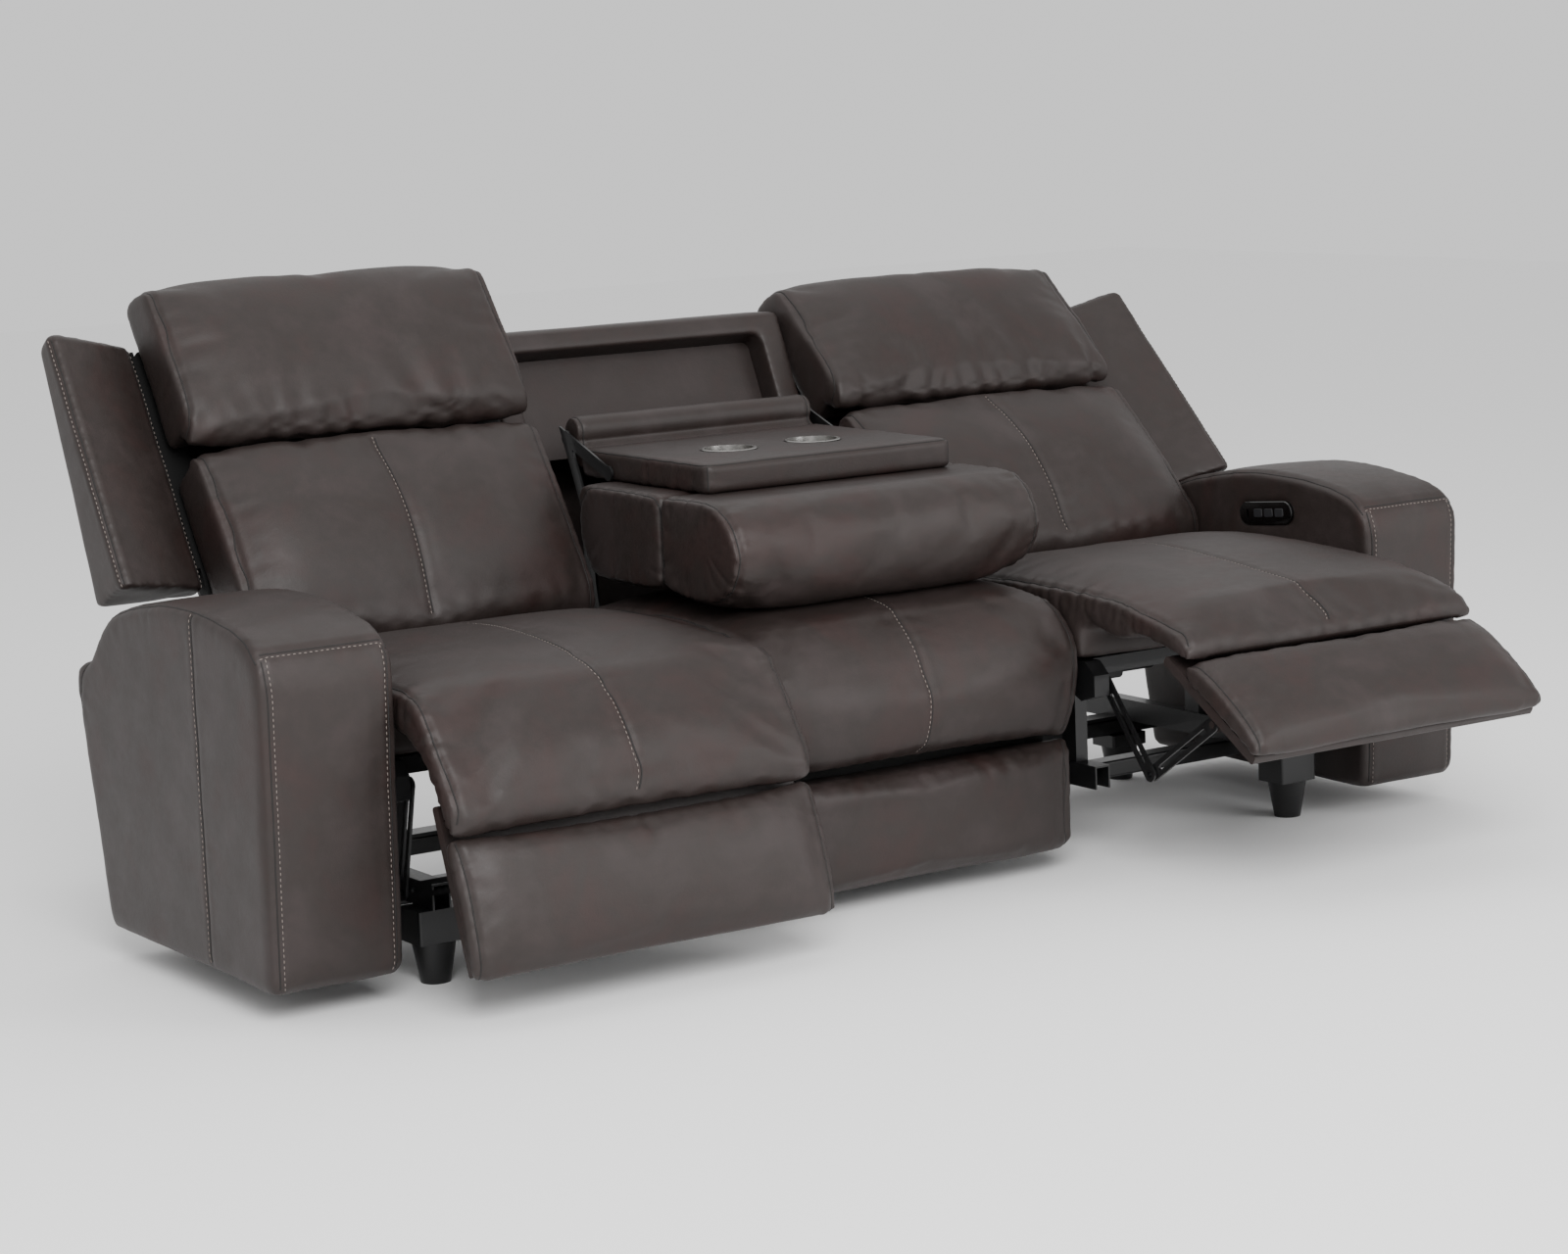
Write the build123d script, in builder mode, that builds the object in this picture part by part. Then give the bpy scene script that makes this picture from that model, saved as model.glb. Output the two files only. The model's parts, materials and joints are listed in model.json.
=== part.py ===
from build123d import *

import os
from math import acos, atan2, cos, degrees, hypot, radians, sin

# Three-seat sofa. The two outer seats recline and carry folding footrests and tilting headrests.
# The back of the middle seat folds down into a table with cup holders.
# Millimetres. X runs to the right, Y to the back, Z up. While the pieces are made, Y = 0 is the plane
# of the arm fronts. They are exported about the centre of the whole sofa's footprint, floor at Z = 0.

# ---------------------------------------------------------------- overall sizes
SOFA_WIDTH = 2240.0
ARM_WIDTH = 210.0
SECTION_GAP = 6.0  # free play between neighbouring seat sections and arms
SEAT_TOP = 455.0
SEAT_CROWN = 16.0
FIT = 0.3  # seating clearance between upholstery and what carries it
PIVOT_PLAY = 0.05  # radial clearance of a pivot pin in its hole

HALF_WIDTH = SOFA_WIDTH / 2
ARM_INNER = HALF_WIDTH - ARM_WIDTH
SECTION = 2 * ARM_INNER / 3
MIDDLE_HALF = SECTION / 2 - SECTION_GAP / 2
SEAT_INNER = SECTION / 2 + SECTION_GAP / 2
SEAT_OUTER = ARM_INNER - SECTION_GAP / 2
SIDES = {"left": -1, "right": 1}

# ---------------------------------------------------------------- poses of the two reclining seats
BACK_UPRIGHT, BACK_FULL = 24.0, 50.0  # lean of the back from vertical, in degrees
FOOTREST_CLOSED, FOOTREST_OPEN = 16.0, 107.4  # swing of the footrest hinge line from straight down
BACK_LEAN = {"left": 32.0, "right": 44.5}
FOOTREST_SWING = {"left": 39.4, "right": 81.1}
REFERENCE_LEAN = 32.0  # lean at which the seat carriage stands at its reference place
SLIDE_PER_DEGREE = 5.4  # carriage travel to the front for each degree of recline
FOOTREST_RATIO = 1.1  # turn of the footrest for each degree of the flap under it
FOOTREST_REST = {"left": 20.0, "right": 57.0}
HEADREST_TILT = 30.0
CONSOLE_TURN = 90.0 + BACK_UPRIGHT

# ---------------------------------------------------------------- main pivots, as (Y, Z)
BACK_PIVOT = (480.0, 345.0)
FLAP_PIVOT = (-22.0, 390.0)
FLAP_REACH = 171.0  # from the flap pivot along the flap to the footrest hinge
FLAP_DROP = 12.0  # footrest hinge line outside the line through the flap pivot
CONSOLE_PIVOT = (571.0, 550.0)
LINK_PIVOT = (60.0, 300.0)  # link pair on the seat frame
LINK_REAR_LENGTH = 169.0
LINK_FRONT_LENGTH = 176.0
BRACKET_PIVOT = (52.0, 84.0)  # link pair on the footrest: along it, and in under it
HEADREST_PIVOT = (-45.0, 430.0)  # in the back's own frame: backwards, upwards

PARTS = {}


def keep(name, builder):
    """Label a finished piece and put it on the list for export."""
    builder.part.label = name
    PARTS[name] = builder.part


def low(side, inner, outer):
    """Smaller X of a span that lies between inner and outer on one side of the sofa."""
    return min(side * inner, side * outer)


def across(x=0.0, y=0.0, z=0.0, lean=0.0):
    """Plane across the sofa: local x runs to the back, local y up, both leaned back by an angle."""
    a = radians(lean)
    return Plane(origin=(x, y, z), x_dir=(0, cos(a), -sin(a)), z_dir=(1, 0, 0))


def hanging(x, y, z, swing):
    """Plane across the sofa for what hangs from a pivot: local x runs down along it, local y in under it."""
    a = radians(swing)
    return Plane(origin=(x, y, z), x_dir=(0, -sin(a), -cos(a)), z_dir=(1, 0, 0))


def carriage_shift(hand):
    """How far the seat carriage of a side stands behind its reference place."""
    return -SLIDE_PER_DEGREE * (BACK_LEAN[hand] - REFERENCE_LEAN)


def flap_lean(hand):
    """Angle of the flap's own line from straight down."""
    return FOOTREST_SWING[hand] - degrees(atan2(FLAP_DROP, FLAP_REACH))


def footrest_hinge(hand):
    """Y and Z of the hinge line between flap and footrest."""
    a = radians(flap_lean(hand))
    y = FLAP_PIVOT[0] - FLAP_REACH * sin(a) - FLAP_DROP * cos(a) + carriage_shift(hand)
    z = FLAP_PIVOT[1] - FLAP_REACH * cos(a) + FLAP_DROP * sin(a)
    return y, z


def link_points(hand):
    """Y and Z of the three link pivots: on the seat frame, at the elbow, on the footrest bracket."""
    top = (LINK_PIVOT[0] + carriage_shift(hand), LINK_PIVOT[1])
    a = radians(FOOTREST_REST[hand])
    y, z = footrest_hinge(hand)
    along, under = BRACKET_PIVOT
    end = (y - along * sin(a) + under * cos(a), z - along * cos(a) - under * sin(a))
    dy, dz = end[0] - top[0], end[1] - top[1]
    reach = hypot(dy, dz)
    foot = (LINK_REAR_LENGTH**2 + reach**2 - LINK_FRONT_LENGTH**2) / (2 * reach)
    rise = (LINK_REAR_LENGTH**2 - foot**2) ** 0.5
    elbow = (top[0] + (foot * dy - rise * dz) / reach, top[1] + (foot * dz + rise * dy) / reach)
    return top, elbow, end


# ---------------------------------------------------------------- arms
ARM_BOTTOM = 43.0
ARM_DEPTH_LOW = 562.0
ARM_OVERHANG = 62.0  # of the arm's rear end behind its foot
ARM_REAR = ARM_DEPTH_LOW + ARM_OVERHANG
ARM_REAR_HEIGHT = 345.0
ARM_TOP = 568.0
ARM_FRONT_HEIGHT = 470.0
ARM_LEAN = -16.0  # front of the arm at that height, from its foot
ARM_EDGE_RADIUS = 16.0
ARM_TOE_RADIUS, ARM_HEEL_RADIUS = 22.0, 44.0  # lower front and lower rear corner
ARM_PADDING = 30.0
ARM_FRAME_TOP = ARM_TOP - 98.0
PANEL_LENGTH, PANEL_HEIGHT, PANEL_DEPTH = 135.0, 40.0, 14.0
PANEL_PROUD = 3.0
PANEL_PLACE = (237.0, 496.0)
PANEL_SLOPE = 5.0
BUTTON_SIZE = (22.0, 15.0, 6.0)
BUTTON_PITCH = 27.0
BUTTON_COUNT = 3
BUTTON_TRAVEL = 1.8
BUTTON_PROUD = 1.0
BUTTON_PLAY = 0.25


def arm_outline():
    """Side outline of an arm: upright front, rounded front corner, long crown, drooping rear end."""
    run = ARM_TOP - ARM_FRONT_HEIGHT
    droop = ARM_TOP - ARM_REAR_HEIGHT
    Polyline((ARM_LEAN, ARM_FRONT_HEIGHT), (0, ARM_BOTTOM), (ARM_DEPTH_LOW, ARM_BOTTOM), (ARM_REAR, ARM_REAR_HEIGHT))
    Spline(
        (ARM_LEAN, ARM_FRONT_HEIGHT),
        (ARM_LEAN + 41 + 0.6 * run, ARM_TOP - 0.133 * run),
        (0.425 * ARM_REAR, ARM_TOP),
        (0.689 * ARM_REAR, ARM_TOP - 0.1 * droop),
        (0.841 * ARM_REAR, ARM_TOP - 0.278 * droop),
        (0.942 * ARM_REAR, ARM_TOP - 0.538 * droop),
        (ARM_REAR, ARM_REAR_HEIGHT),
        tangents=(
            (ARM_LEAN, ARM_FRONT_HEIGHT - ARM_BOTTOM),
            (ARM_DEPTH_LOW - ARM_REAR, ARM_BOTTOM - ARM_REAR_HEIGHT),
        ),
    )


def arm(hand):
    """Padded arm cover round its wooden frame, with the push-button panel let into the inner face."""
    side = SIDES[hand]
    with BuildPart() as cover:
        with BuildSketch(across(low(side, ARM_INNER, HALF_WIDTH))) as outline:
            with BuildLine():
                arm_outline()
            make_face()
            toe, heel = outline.vertices().group_by(Axis.Y)[0].sort_by(Axis.X)
            fillet(toe, ARM_TOE_RADIUS)
            fillet(heel, ARM_HEEL_RADIUS)
        extrude(amount=ARM_WIDTH)
        fillet(cover.faces().filter_by(Axis.X).edges(), ARM_EDGE_RADIUS)
        with BuildSketch(across(low(side, ARM_INNER + ARM_PADDING, HALF_WIDTH - ARM_PADDING))):
            with BuildLine():
                frame_outline(0.0)
            make_face()
        extrude(amount=ARM_WIDTH - 2 * ARM_PADDING, mode=Mode.SUBTRACT)
        with BuildSketch(panel_plane(side, 0.0)):
            SlotOverall(PANEL_LENGTH, PANEL_HEIGHT)
        extrude(amount=-PANEL_DEPTH, mode=Mode.SUBTRACT)
    keep(f"arm_cover_{hand}", cover)

    with BuildPart() as frame:
        with BuildSketch(across(low(side, ARM_INNER + ARM_PADDING + FIT, HALF_WIDTH - ARM_PADDING - FIT))):
            with BuildLine():
                frame_outline(FIT)
            make_face()
            bay = (ARM_DEPTH_LOW - 64) / 2
            with Locations((32 + bay / 2, ARM_BOTTOM + 197), (32 + 1.5 * bay, ARM_BOTTOM + 197)):
                RectangleRounded(bay - 59, ARM_FRAME_TOP - ARM_BOTTOM - 167, 20, mode=Mode.SUBTRACT)
        extrude(amount=ARM_WIDTH - 2 * ARM_PADDING - 2 * FIT)
    keep(f"arm_frame_{hand}", frame)


def frame_outline(gap):
    """Outline of the wooden arm frame, drawn in by a gap on every side but the open bottom."""
    Polyline(
        (36 + gap, ARM_BOTTOM),
        (22 + gap, ARM_FRAME_TOP - 30),
        (90 + gap, ARM_FRAME_TOP - gap),
        (ARM_REAR - 154 - gap, ARM_FRAME_TOP - gap),
        (ARM_REAR - 64 - gap, ARM_FRAME_TOP - 100),
        (ARM_DEPTH_LOW - ARM_HEEL_RADIUS - gap, ARM_BOTTOM),
        close=True,
    )


def panel_plane(side, proud):
    """Plane of the control panel on an arm's inner face, facing the seat."""
    slope = radians(PANEL_SLOPE)
    return Plane(
        origin=(side * (ARM_INNER - proud), PANEL_PLACE[0], PANEL_PLACE[1]),
        x_dir=(0, cos(slope), -sin(slope)),
        z_dir=(-side, 0, 0),
    )


def button_places():
    """Centres of the push buttons along the panel, towards its rear end."""
    first = -PANEL_LENGTH / 2 + PANEL_HEIGHT / 2 + 12
    return [(first + BUTTON_PITCH * i, 0) for i in range(BUTTON_COUNT)]


def control_panel(hand):
    """Oblong panel with a well for each button and a port at its front end, and the buttons in it."""
    side = SIDES[hand]
    length, height, thick = BUTTON_SIZE
    well = thick - BUTTON_PROUD + BUTTON_TRAVEL + BUTTON_PLAY
    with BuildPart() as panel:
        with BuildSketch(panel_plane(side, PANEL_PROUD)):
            SlotOverall(PANEL_LENGTH - 2 * FIT, PANEL_HEIGHT - 2 * FIT)
        extrude(amount=-PANEL_DEPTH - PANEL_PROUD)
        chamfer(panel.faces().sort_by(Axis.X)[-1 if side < 0 else 0].edges(), 1.2)
        with BuildSketch(panel_plane(side, PANEL_PROUD)):
            with Locations(*button_places()):
                RectangleRounded(length, height, 3)
        extrude(amount=-well, mode=Mode.SUBTRACT)
        with BuildSketch(panel_plane(side, PANEL_PROUD)):
            with Locations((PANEL_LENGTH / 2 - PANEL_HEIGHT / 2 - 2, 0)):
                Rectangle(5, 13)
        extrude(amount=-8, mode=Mode.SUBTRACT)
    keep(f"control_panel_{hand}", panel)

    for number, place in enumerate(button_places(), start=1):
        with BuildPart() as button:
            with BuildSketch(panel_plane(side, PANEL_PROUD + BUTTON_PROUD)):
                with Locations(place):
                    RectangleRounded(length - 2 * BUTTON_PLAY, height - 2 * BUTTON_PLAY, 2.8)
            extrude(amount=-thick)
            chamfer(button.faces().sort_by(Axis.X)[-1 if side < 0 else 0].edges(), 0.6)
        keep(f"button_{hand}_{number}", button)


# ---------------------------------------------------------------- base under the seats
RAIL_HEIGHT, RAIL_DEPTH, RAIL_WALL = 28.0, 40.0, 3.0
RAIL_TOP = 112.0
FRONT_RAIL_Y, REAR_RAIL_Y = 248.0, ARM_DEPTH_LOW - 22.0
CHANNEL_WIDTH, CHANNEL_HEIGHT = 30.0, 38.0
CHANNEL_INSET = 74.0  # from the seat section's edge to the slide channel
CHANNEL_FRONT, CHANNEL_REAR = 60.0, 620.0
CHANNEL_TOP = RAIL_TOP + CHANNEL_HEIGHT
FOOT_BLOCK = (76.0, 62.0, 50.0)
FOOT_TOP, FOOT_TIP = 66.0, 44.0
FOOT_FRONT_Y = 92.0


def channel_places(side):
    """X of the inner and the outer slide channel's middle, for one side."""
    middle = CHANNEL_WIDTH / 2
    return side * (SEAT_INNER + CHANNEL_INSET + middle), side * (SEAT_OUTER - CHANNEL_INSET - middle)


def cross_rail(name, y):
    """Square steel tube from arm to arm, open at both ends."""
    with BuildPart() as rail:
        with BuildSketch(across(-ARM_INNER, y, RAIL_TOP - RAIL_HEIGHT / 2)):
            RectangleRounded(RAIL_DEPTH, RAIL_HEIGHT, 4)
            RectangleRounded(RAIL_DEPTH - 2 * RAIL_WALL, RAIL_HEIGHT - 2 * RAIL_WALL, 1.5, mode=Mode.SUBTRACT)
        extrude(amount=2 * ARM_INNER)
    keep(name, rail)


def slide_base(hand):
    """Pair of steel channels that the seat carriage runs on, tied by a flat bar at the rear."""
    side = SIDES[hand]
    length = CHANNEL_REAR - CHANNEL_FRONT
    inner, outer = channel_places(side)
    with BuildPart() as base:
        for x in (inner, outer):
            with BuildSketch(Plane.XZ.offset(-CHANNEL_FRONT)):
                with Locations((x, RAIL_TOP + CHANNEL_HEIGHT / 2)):
                    Rectangle(CHANNEL_WIDTH, CHANNEL_HEIGHT)
                with Locations((x, RAIL_TOP + CHANNEL_HEIGHT / 2 - RAIL_WALL)):
                    Rectangle(CHANNEL_WIDTH - 2 * RAIL_WALL, CHANNEL_HEIGHT, mode=Mode.SUBTRACT)
            extrude(amount=-length)
        with BuildSketch(Plane.XY.offset(RAIL_TOP)):
            with Locations(((inner + outer) / 2, REAR_RAIL_Y)):
                Rectangle(abs(outer - inner) - CHANNEL_WIDTH + 2, RAIL_DEPTH)
        extrude(amount=6)
    keep(f"slide_base_{hand}", base)


def feet():
    """Blocks under the slide channels and the cross rails, each with a tapered round foot."""
    block_width, block_depth, block_height = FOOT_BLOCK
    outer = channel_places(1)[1]
    under_rail = RAIL_TOP - RAIL_HEIGHT
    places = [(-outer, FOOT_FRONT_Y, RAIL_TOP), (0, FRONT_RAIL_Y, under_rail), (outer, FOOT_FRONT_Y, RAIL_TOP)]
    places += [(x, REAR_RAIL_Y, under_rail) for x in (-outer, 0, outer)]
    with BuildPart() as group:
        for x, y, top in places:
            with BuildSketch(Plane.XY.offset(RAIL_TOP - block_height)):
                with Locations((x, y)):
                    RectangleRounded(block_width, block_depth, 4)
            extrude(amount=top - RAIL_TOP + block_height)
            with BuildSketch(Plane.XY.offset(RAIL_TOP - block_height)):
                with Locations((x, y)):
                    Circle(FOOT_TOP / 2)
            with BuildSketch(Plane.XY):
                with Locations((x, y)):
                    Circle(FOOT_TIP / 2)
            loft()
    keep("feet", group)


# ---------------------------------------------------------------- reclining seats
FRAME_TUBE = 30.0
FRAME_TOP = 337.0
FRAME_HEIGHT = 42.0
FRAME_FRONT, FRAME_REAR = 66.0, 440.0
CROSS_HEIGHT = 26.0
SHOE_WIDTH, SHOE_LENGTH = 24.0, 36.0
SLIDE_PLAY = 0.1
SHOE_PLACES = (198.0, 390.0)
LOBE_RADIUS, BACK_PIN = 24.0, 8.0
LOBE_THICK = 6.0
LINK_PIN = 6.0
LINK_WIDTH, LINK_THICK = 24.0, 4.0
LINK_STEP = 6.0  # from one link plane to the next
SPRING_COUNT, SPRING_WAVES, SPRING_WIRE = 4, 7, 4.0


def seat_frame(hand):
    """Welded steel carriage: side tubes, two cross bars, slide shoes, pivot lobes and link pins."""
    side = SIDES[hand]
    shift = carriage_shift(hand)
    inner, outer = SEAT_INNER + 10, SEAT_OUTER - 10
    bottom = FRAME_TOP - FRAME_HEIGHT
    with BuildPart() as frame:
        for start in (inner, outer - FRAME_TUBE):
            with BuildSketch(across(low(side, start, start + FRAME_TUBE), shift)):
                with BuildLine():
                    Polyline(
                        (FRAME_FRONT, FRAME_TOP),
                        (FRAME_FRONT - 22, FRAME_TOP - 20),
                        (LINK_PIVOT[0] - 16, bottom - 12),
                        (LINK_PIVOT[0] + 18, bottom - 22),
                        (FRAME_FRONT + 60, bottom),
                        (FRAME_REAR, bottom),
                        (FRAME_REAR, FRAME_TOP),
                        close=True,
                    )
                make_face()
            extrude(amount=FRAME_TUBE)
        for start in (inner + FRAME_TUBE - LOBE_THICK, outer - FRAME_TUBE):
            with BuildSketch(across(low(side, start, start + LOBE_THICK), shift)):
                with Locations(BACK_PIVOT):
                    Circle(LOBE_RADIUS)
                with Locations(((FRAME_REAR + BACK_PIVOT[0]) / 2 - 5, bottom + FRAME_HEIGHT / 2)):
                    Rectangle(BACK_PIVOT[0] - FRAME_REAR + 10, FRAME_HEIGHT)
                with Locations(BACK_PIVOT):
                    Circle(BACK_PIN + PIVOT_PLAY, mode=Mode.SUBTRACT)
            extrude(amount=LOBE_THICK)
        for y in (FRAME_FRONT + 34, FRAME_REAR - 16):
            with BuildSketch(across(low(side, inner, outer), shift)):
                with Locations((y, FRAME_TOP - CROSS_HEIGHT / 2)):
                    Rectangle(30, CROSS_HEIGHT)
            extrude(amount=outer - inner)
        for x in channel_places(side):
            with BuildSketch(Plane.XY.offset(CHANNEL_TOP + SLIDE_PLAY)):
                with Locations(*[(x, y + shift) for y in SHOE_PLACES]):
                    Rectangle(SHOE_WIDTH, SHOE_LENGTH)
            extrude(amount=FRAME_TOP - CHANNEL_TOP - CROSS_HEIGHT + 6)
            with BuildSketch(across(x - SHOE_WIDTH / 2, shift)):
                with Locations(((SHOE_PLACES[0] + SHOE_PLACES[1]) / 2, FRAME_TOP - CROSS_HEIGHT + 13)):
                    Rectangle(FRAME_REAR - FRAME_FRONT - 60, CROSS_HEIGHT)
            extrude(amount=SHOE_WIDTH)
        for start, grow in ((inner + FRAME_TUBE, 1), (outer - FRAME_TUBE, -1)):
            length = LINK_STEP + LINK_THICK + 1
            with BuildSketch(across(low(side, start, start + grow * length), shift)):
                with Locations(LINK_PIVOT):
                    Circle(LINK_PIN)
            extrude(amount=length)
    keep(f"seat_frame_{hand}", frame)


def seat_springs(hand):
    """Sinuous seat springs laid from cross bar to cross bar."""
    side = SIDES[hand]
    shift = carriage_shift(hand)
    start, end = FRAME_FRONT + 34, FRAME_REAR - 16
    wave = (end - start) / SPRING_WAVES
    span = SEAT_OUTER - SEAT_INNER - 200
    with BuildPart() as springs:
        for i in range(SPRING_COUNT):
            x = side * (SEAT_INNER + 100 + span * i / (SPRING_COUNT - 1))
            points = [(x, start + shift)]
            for k in range(SPRING_WAVES):
                swing = 22 if k % 2 else -22
                points.append((x + swing, start + shift + wave * (k + 0.12)))
                points.append((x + swing, start + shift + wave * (k + 0.88)))
            points.append((x, end + shift))
            with BuildSketch(Plane.XY.offset(FRAME_TOP)):
                with BuildLine():
                    FilletPolyline(*points, radius=8)
                trace(line_width=SPRING_WIRE)
            extrude(amount=SPRING_WIRE)
    keep(f"seat_springs_{hand}", springs)


SPRING_TOP = FRAME_TOP + SPRING_WIRE
FLAP_OUTER = 58.0  # flap's upper face, from the line through its pivot
FLAP_INNER = 13.0
NOSE_RADIUS = 56.0
SEAT_REAR = 405.0
SEAT_TAIL = (448.0, 408.0)  # lower rear edge, tucked in under the back
SIDE_DRAW = 9.0  # how far a cushion's end profile is drawn in
HINGE_GAP = 0.15  # of flap and footrest padding from their common hinge line


def stations(side, inner, outer, edge=60.0):
    """X places across a cushion with how full the cushion is there, from 0 at its ends to 1."""
    rows = [(inner, 0.0), (inner + edge, 0.72), ((inner + outer) / 2, 1.0), (outer - edge, 0.72), (outer, 0.0)]
    return [(side * x, full) for x, full in rows]


def seat_cushion(hand):
    """Boxed seat cushion with a crowned top and a round nose that the flap turns about."""
    side = SIDES[hand]
    shift = carriage_shift(hand)
    pivot_y, pivot_z = FLAP_PIVOT
    with BuildPart() as cushion:
        for x, full in stations(side, SEAT_INNER, SEAT_OUTER):
            draw = SIDE_DRAW * (1 - full)
            top = SEAT_TOP - draw + SEAT_CROWN * full + 2 * (1 - full)
            nose = NOSE_RADIUS
            under = pivot_z + 24
            reach = (nose**2 - 24**2) ** 0.5
            with BuildSketch(across(x, shift)):
                with BuildLine():
                    ThreePointArc(
                        (pivot_y - reach, under),
                        (pivot_y - nose * cos(radians(58)), pivot_z + nose * sin(radians(58))),
                        (pivot_y, pivot_z + nose),
                    )
                    ThreePointArc((pivot_y, pivot_z + nose), (170, top), (SEAT_REAR - draw, SEAT_TOP - draw))
                    Polyline(
                        (SEAT_REAR - draw, SEAT_TOP - draw),
                        (SEAT_TAIL[0] - draw, SEAT_TAIL[1] - draw),
                        (SEAT_TAIL[0] - draw, SPRING_TOP),
                        (66, SPRING_TOP),
                        (66, under),
                        (pivot_y - reach, under),
                    )
                make_face()
        loft()
    keep(f"seat_cushion_{hand}", cushion)


def drive_unit(hand):
    """Electric drive under the seat: guide rail with gearbox and motor can."""
    side = SIDES[hand]
    shift = carriage_shift(hand)
    middle = side * (SEAT_INNER + SEAT_OUTER) / 2
    top = FRAME_TOP - CROSS_HEIGHT
    with BuildPart() as drive:
        with BuildSketch(Plane.XZ.offset(-(FRAME_FRONT + 24 + shift))):
            with Locations((middle, top - 12)):
                RectangleRounded(34, 24, 3)
        extrude(amount=-(FRAME_REAR - FRAME_FRONT - 40))
        with BuildSketch(Plane.XZ.offset(-(FRAME_REAR - 66 + shift))):
            with Locations((middle, top - 44)):
                RectangleRounded(70, 64, 8)
        extrude(amount=-44)
        with BuildSketch(across(middle + 20, FRAME_REAR - 44 + shift, top - 48)):
            Circle(24)
        extrude(amount=88)
    keep(f"drive_unit_{hand}", drive)


# ---------------------------------------------------------------- flap and footrest
FOOTREST_LENGTH = 205.0
FOOTREST_CROWN = 14.0
BOARD_FACE, BOARD_THICK = 24.0, 16.0
BOARD_BACK = 52.0  # how far the board runs in behind the hinge line
BOARD_END = 190.0


def chaise_flap(hand):
    """Padded flap that carries the seat's surface on to the footrest, hollowed to turn about the nose."""
    side = SIDES[hand]
    y, z = FLAP_PIVOT[0] + carriage_shift(hand), FLAP_PIVOT[1]
    root = NOSE_RADIUS + FIT
    root_top = 26.0
    with BuildPart() as flap:
        for x, full in stations(side, SEAT_INNER, SEAT_OUTER):
            draw = 6 * (1 - full)
            face = -FLAP_OUTER + draw
            crown = face - 15 * full
            inner = -FLAP_INNER - draw
            low_root = (root**2 - inner**2) ** 0.5
            turn = (root * cos(radians(42)), -root * sin(radians(42)))
            high_root = (root**2 - 40**2) ** 0.5
            end = (FLAP_REACH - HINGE_GAP, -FLAP_DROP - HINGE_GAP)
            with BuildSketch(hanging(x, y, z, flap_lean(hand))):
                with BuildLine():
                    ThreePointArc((low_root, inner), turn, (high_root, -40))
                    Line((high_root, -40), (root_top + 4, face))
                    ThreePointArc((root_top + 4, face), (85, crown), (142, face + 4))
                    ThreePointArc((142, face + 4), (162 + 3 * full, -40), end)
                    Polyline(end, (FLAP_REACH - 8, inner), (low_root, inner))
                make_face()
        loft()
    keep(f"chaise_flap_{hand}", flap)


def footrest(hand):
    """Covered board with link brackets, and the pad on its face."""
    side = SIDES[hand]
    y, z = footrest_hinge(hand)
    plane_angle = FOOTREST_REST[hand]
    along, under = BRACKET_PIVOT
    inner, outer = SEAT_INNER + 10, SEAT_OUTER - 10
    plates = (inner + FRAME_TUBE + 3 * LINK_STEP, outer - FRAME_TUBE - 3 * LINK_STEP - LINK_THICK)
    with BuildPart() as board:
        with BuildSketch(hanging(low(side, inner, outer), y, z, plane_angle)):
            with Locations(((BOARD_END - BOARD_BACK) / 2, BOARD_FACE + BOARD_THICK / 2)):
                Rectangle(BOARD_END + BOARD_BACK, BOARD_THICK)
        extrude(amount=outer - inner)
        fillet(board.edges().filter_by(Axis.X), 5)
        for start in plates:
            with BuildSketch(hanging(low(side, start, start + LINK_THICK), y, z, plane_angle)):
                with BuildLine():
                    Polyline(
                        (along - 40, BOARD_FACE + BOARD_THICK - 2),
                        (along + 60, BOARD_FACE + BOARD_THICK - 2),
                        (along + 12, under + 6),
                        (along - 12, under + 6),
                        close=True,
                    )
                make_face()
                with Locations((along, under)):
                    Circle(13)
            extrude(amount=LINK_THICK)
        for start, grow in ((plates[0], -1), (plates[1] + LINK_THICK, 1)):
            length = LINK_STEP + 0.5
            with BuildSketch(hanging(low(side, start, start + grow * length), y, z, plane_angle)):
                with Locations((along, under)):
                    Circle(LINK_PIN)
            extrude(amount=length)
    keep(f"footrest_board_{hand}", board)

    with BuildPart() as pad:
        for x, full in stations(side, SEAT_INNER, SEAT_OUTER):
            draw = 8 * (1 - full)
            face = -4 - FOOTREST_CROWN * full
            back = BOARD_FACE - FIT - draw * 0.5
            end = FOOTREST_LENGTH - draw
            start = (HINGE_GAP, HINGE_GAP)
            with BuildSketch(hanging(x, y, z, plane_angle)):
                with BuildLine():
                    ThreePointArc(start, (90, face - 6), (end - 14, face + 10))
                    ThreePointArc((end - 14, face + 10), (end, 12), (end - 12, back))
                    Polyline((end - 12, back), (8, back), start)
                make_face()
        loft()
    keep(f"footrest_pad_{hand}", pad)


def link_bar(start, end, pin_hole, elbow_hole):
    """Flat link between two pivots, given as points of the sketch plane."""
    angle = degrees(atan2(end[1] - start[1], end[0] - start[0]))
    middle = ((start[0] + end[0]) / 2, (start[1] + end[1]) / 2)
    length = hypot(end[0] - start[0], end[1] - start[1])
    with Locations(Location((middle[0], middle[1], 0), (0, 0, angle))):
        SlotCenterToCenter(length, LINK_WIDTH)
        SlotCenterToCenter(length - 2 * LINK_WIDTH, LINK_WIDTH / 3, mode=Mode.SUBTRACT)
    with Locations(start):
        Circle(pin_hole, mode=Mode.SUBTRACT)
    with Locations(end):
        Circle(elbow_hole, mode=Mode.SUBTRACT)


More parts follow.
